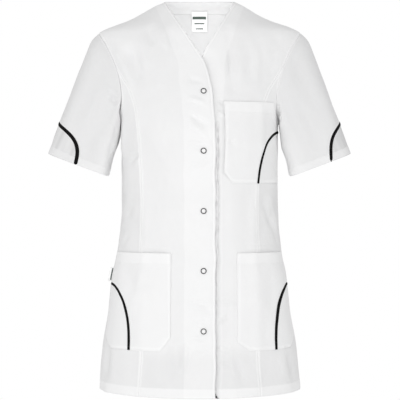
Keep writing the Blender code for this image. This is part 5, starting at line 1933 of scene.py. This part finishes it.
for number in range(1, SNAP_COUNT + 1):
    z = np.array(SNAP_TOP_Z - (number - 1) * SNAP_SPACING)
    angle = angle_at(SNAP_X, z)
    place = cloth_point(angle[None], z[None])[0], base_normal(angle, z)
    ring = f"snap_{number}_ring"
    mound = f"snap_{number}_mound"
    finish_piece(ring, ring_mesh(ring, *place), metal, [f"snap_ring_{number}"])
    finish_piece(mound, mound_mesh(mound, *place), cloth)
    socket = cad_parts[f"snap_socket_{number}"]
    socket.data.materials.clear()
    socket.data.materials.append(metal)

# %% [markdown]
# ## Labels
# The neck label is a plain white satin square that hangs from the back neck facing, and a small folded flag
# sits in the right side seam. They carry plain bars and no writing.

# %% Label material
Bar = namedtuple("Bar", "left right low high")
LABEL_BARS = (
    Bar(0.0030, 0.0300, 0.0268, 0.0325),
    Bar(0.0065, 0.0265, 0.0168, 0.0192),
    Bar(0.0090, 0.0240, 0.0058, 0.0082),
)
BAR_COLOUR = (0.030, 0.060, 0.045, 1)
FLAG_BAR = Bar(0.0010, 0.0036, 0.0020, 0.0250)
FLAG_COLOUR = (0.060, 0.080, 0.075, 1)


def between(field, low, high):
    return field.math("GREATER_THAN", field, low) * field.math("LESS_THAN", field, high)


def satin_ribbon(name, printed_bars, colour):
    """A white satin ribbon with fine ribs across it and plain printed bars."""
    made, shader, start = new_material(name)
    u, v = cut_lengths(start)
    rib = (v * turns_per_metre).sine()
    bars = sum(between(u, bar.left, bar.right) * between(v, bar.low, bar.high) for bar in printed_bars)
    ribbon = (rib * 0.5 + 0.5).mixed(grey(0.94), grey(0.98))
    feed(shader, {
        "Base Color": bars.mixed(ribbon, colour),
        "Roughness": rib * 0.05 + 0.42,
        "Normal": (rib * 0.00004).bump(0.5),
        "Sheen Weight": 0.3,
    })
    return made


satin = satin_ribbon("white_satin_ribbon", LABEL_BARS, BAR_COLOUR)
flag_satin = satin_ribbon("white_satin_flag", [FLAG_BAR], FLAG_COLOUR)
print("satin has", len(satin.node_tree.nodes), "nodes")

# %% Neck label
LABEL_HALF_WIDTH = 0.0165
LABEL_TOP_Z = -0.0082
LABEL_BOTTOM_Z = -0.0480
LABEL_CLOTH = 0.0005
LABEL_GAP = 0.0034
LABEL_SAG = 0.0012
LABEL_CURL = 0.0006
LABEL_LAYERS = 3.0
LABEL_COLUMNS = 25
LABEL_ROWS = 31

x = np.linspace(-LABEL_HALF_WIDTH, LABEL_HALF_WIDTH, LABEL_COLUMNS)
z = np.linspace(LABEL_BOTTOM_Z, LABEL_TOP_Z, LABEL_ROWS)
x, z = np.meshgrid(x, z)
angle = np.mod(angle_at(x, z, "back_depth"), 2 * math.pi)
hang = (LABEL_TOP_Z - z) / (LABEL_TOP_Z - LABEL_BOTTOM_Z)
lift = -LABEL_GAP - LABEL_SAG * np.sin(math.pi * hang) - LABEL_CURL * (x / LABEL_HALF_WIDTH) ** 2
normal = base_normal(angle, z)
points = base_point(angle, z) + lift[..., None] * normal
label = cloth_piece(
    "neck_label_ribbon", points, normal, LABEL_LAYERS, "neck_label", satin, thickness=LABEL_CLOTH
)

# %% Side flag
SIDE_LABEL_Z = -0.533
SIDE_LABEL_SIZE = (0.0072, 0.0012, 0.0270)
SIDE_LABEL_CUTS = 5
SIDE_LABEL_GAP = 0.0004
SIDE_LABEL_WAVE = 0.0012
SIDE_LABEL_WAVES = 4

width, thick, height = SIDE_LABEL_SIZE
bm = bmesh.new()
bmesh.ops.create_cube(bm, size=1.0)
bmesh.ops.subdivide_edges(bm, edges=bm.edges, cuts=SIDE_LABEL_CUTS, use_grid_fill=True)
cut_layer = bm.loops.layers.uv.new("cut")
for face in bm.faces:
    for loop in face.loops:
        loop[cut_layer].uv = ((0.5 - loop.vert.co.x) * width, (loop.vert.co.z + 0.5) * height)
for vert in bm.verts:
    z = SIDE_LABEL_Z + vert.co.z * height
    seam = float(smooth_value(SECTIONS, "half_width", z))
    out = seam + SIDE_LABEL_GAP + (0.5 - vert.co.x) * width
    slack = SIDE_LABEL_WAVE * math.sin(SIDE_LABEL_WAVES * vert.co.z) * (0.5 - vert.co.x)
    vert.co = (-out, vert.co.y * thick + slack, z)
bmesh.ops.recalc_face_normals(bm, faces=bm.faces)
flag_mesh = mesh_of(bm, "side_label_ribbon")
finish_piece("side_label_ribbon", flag_mesh, flag_satin, ["side_label"])
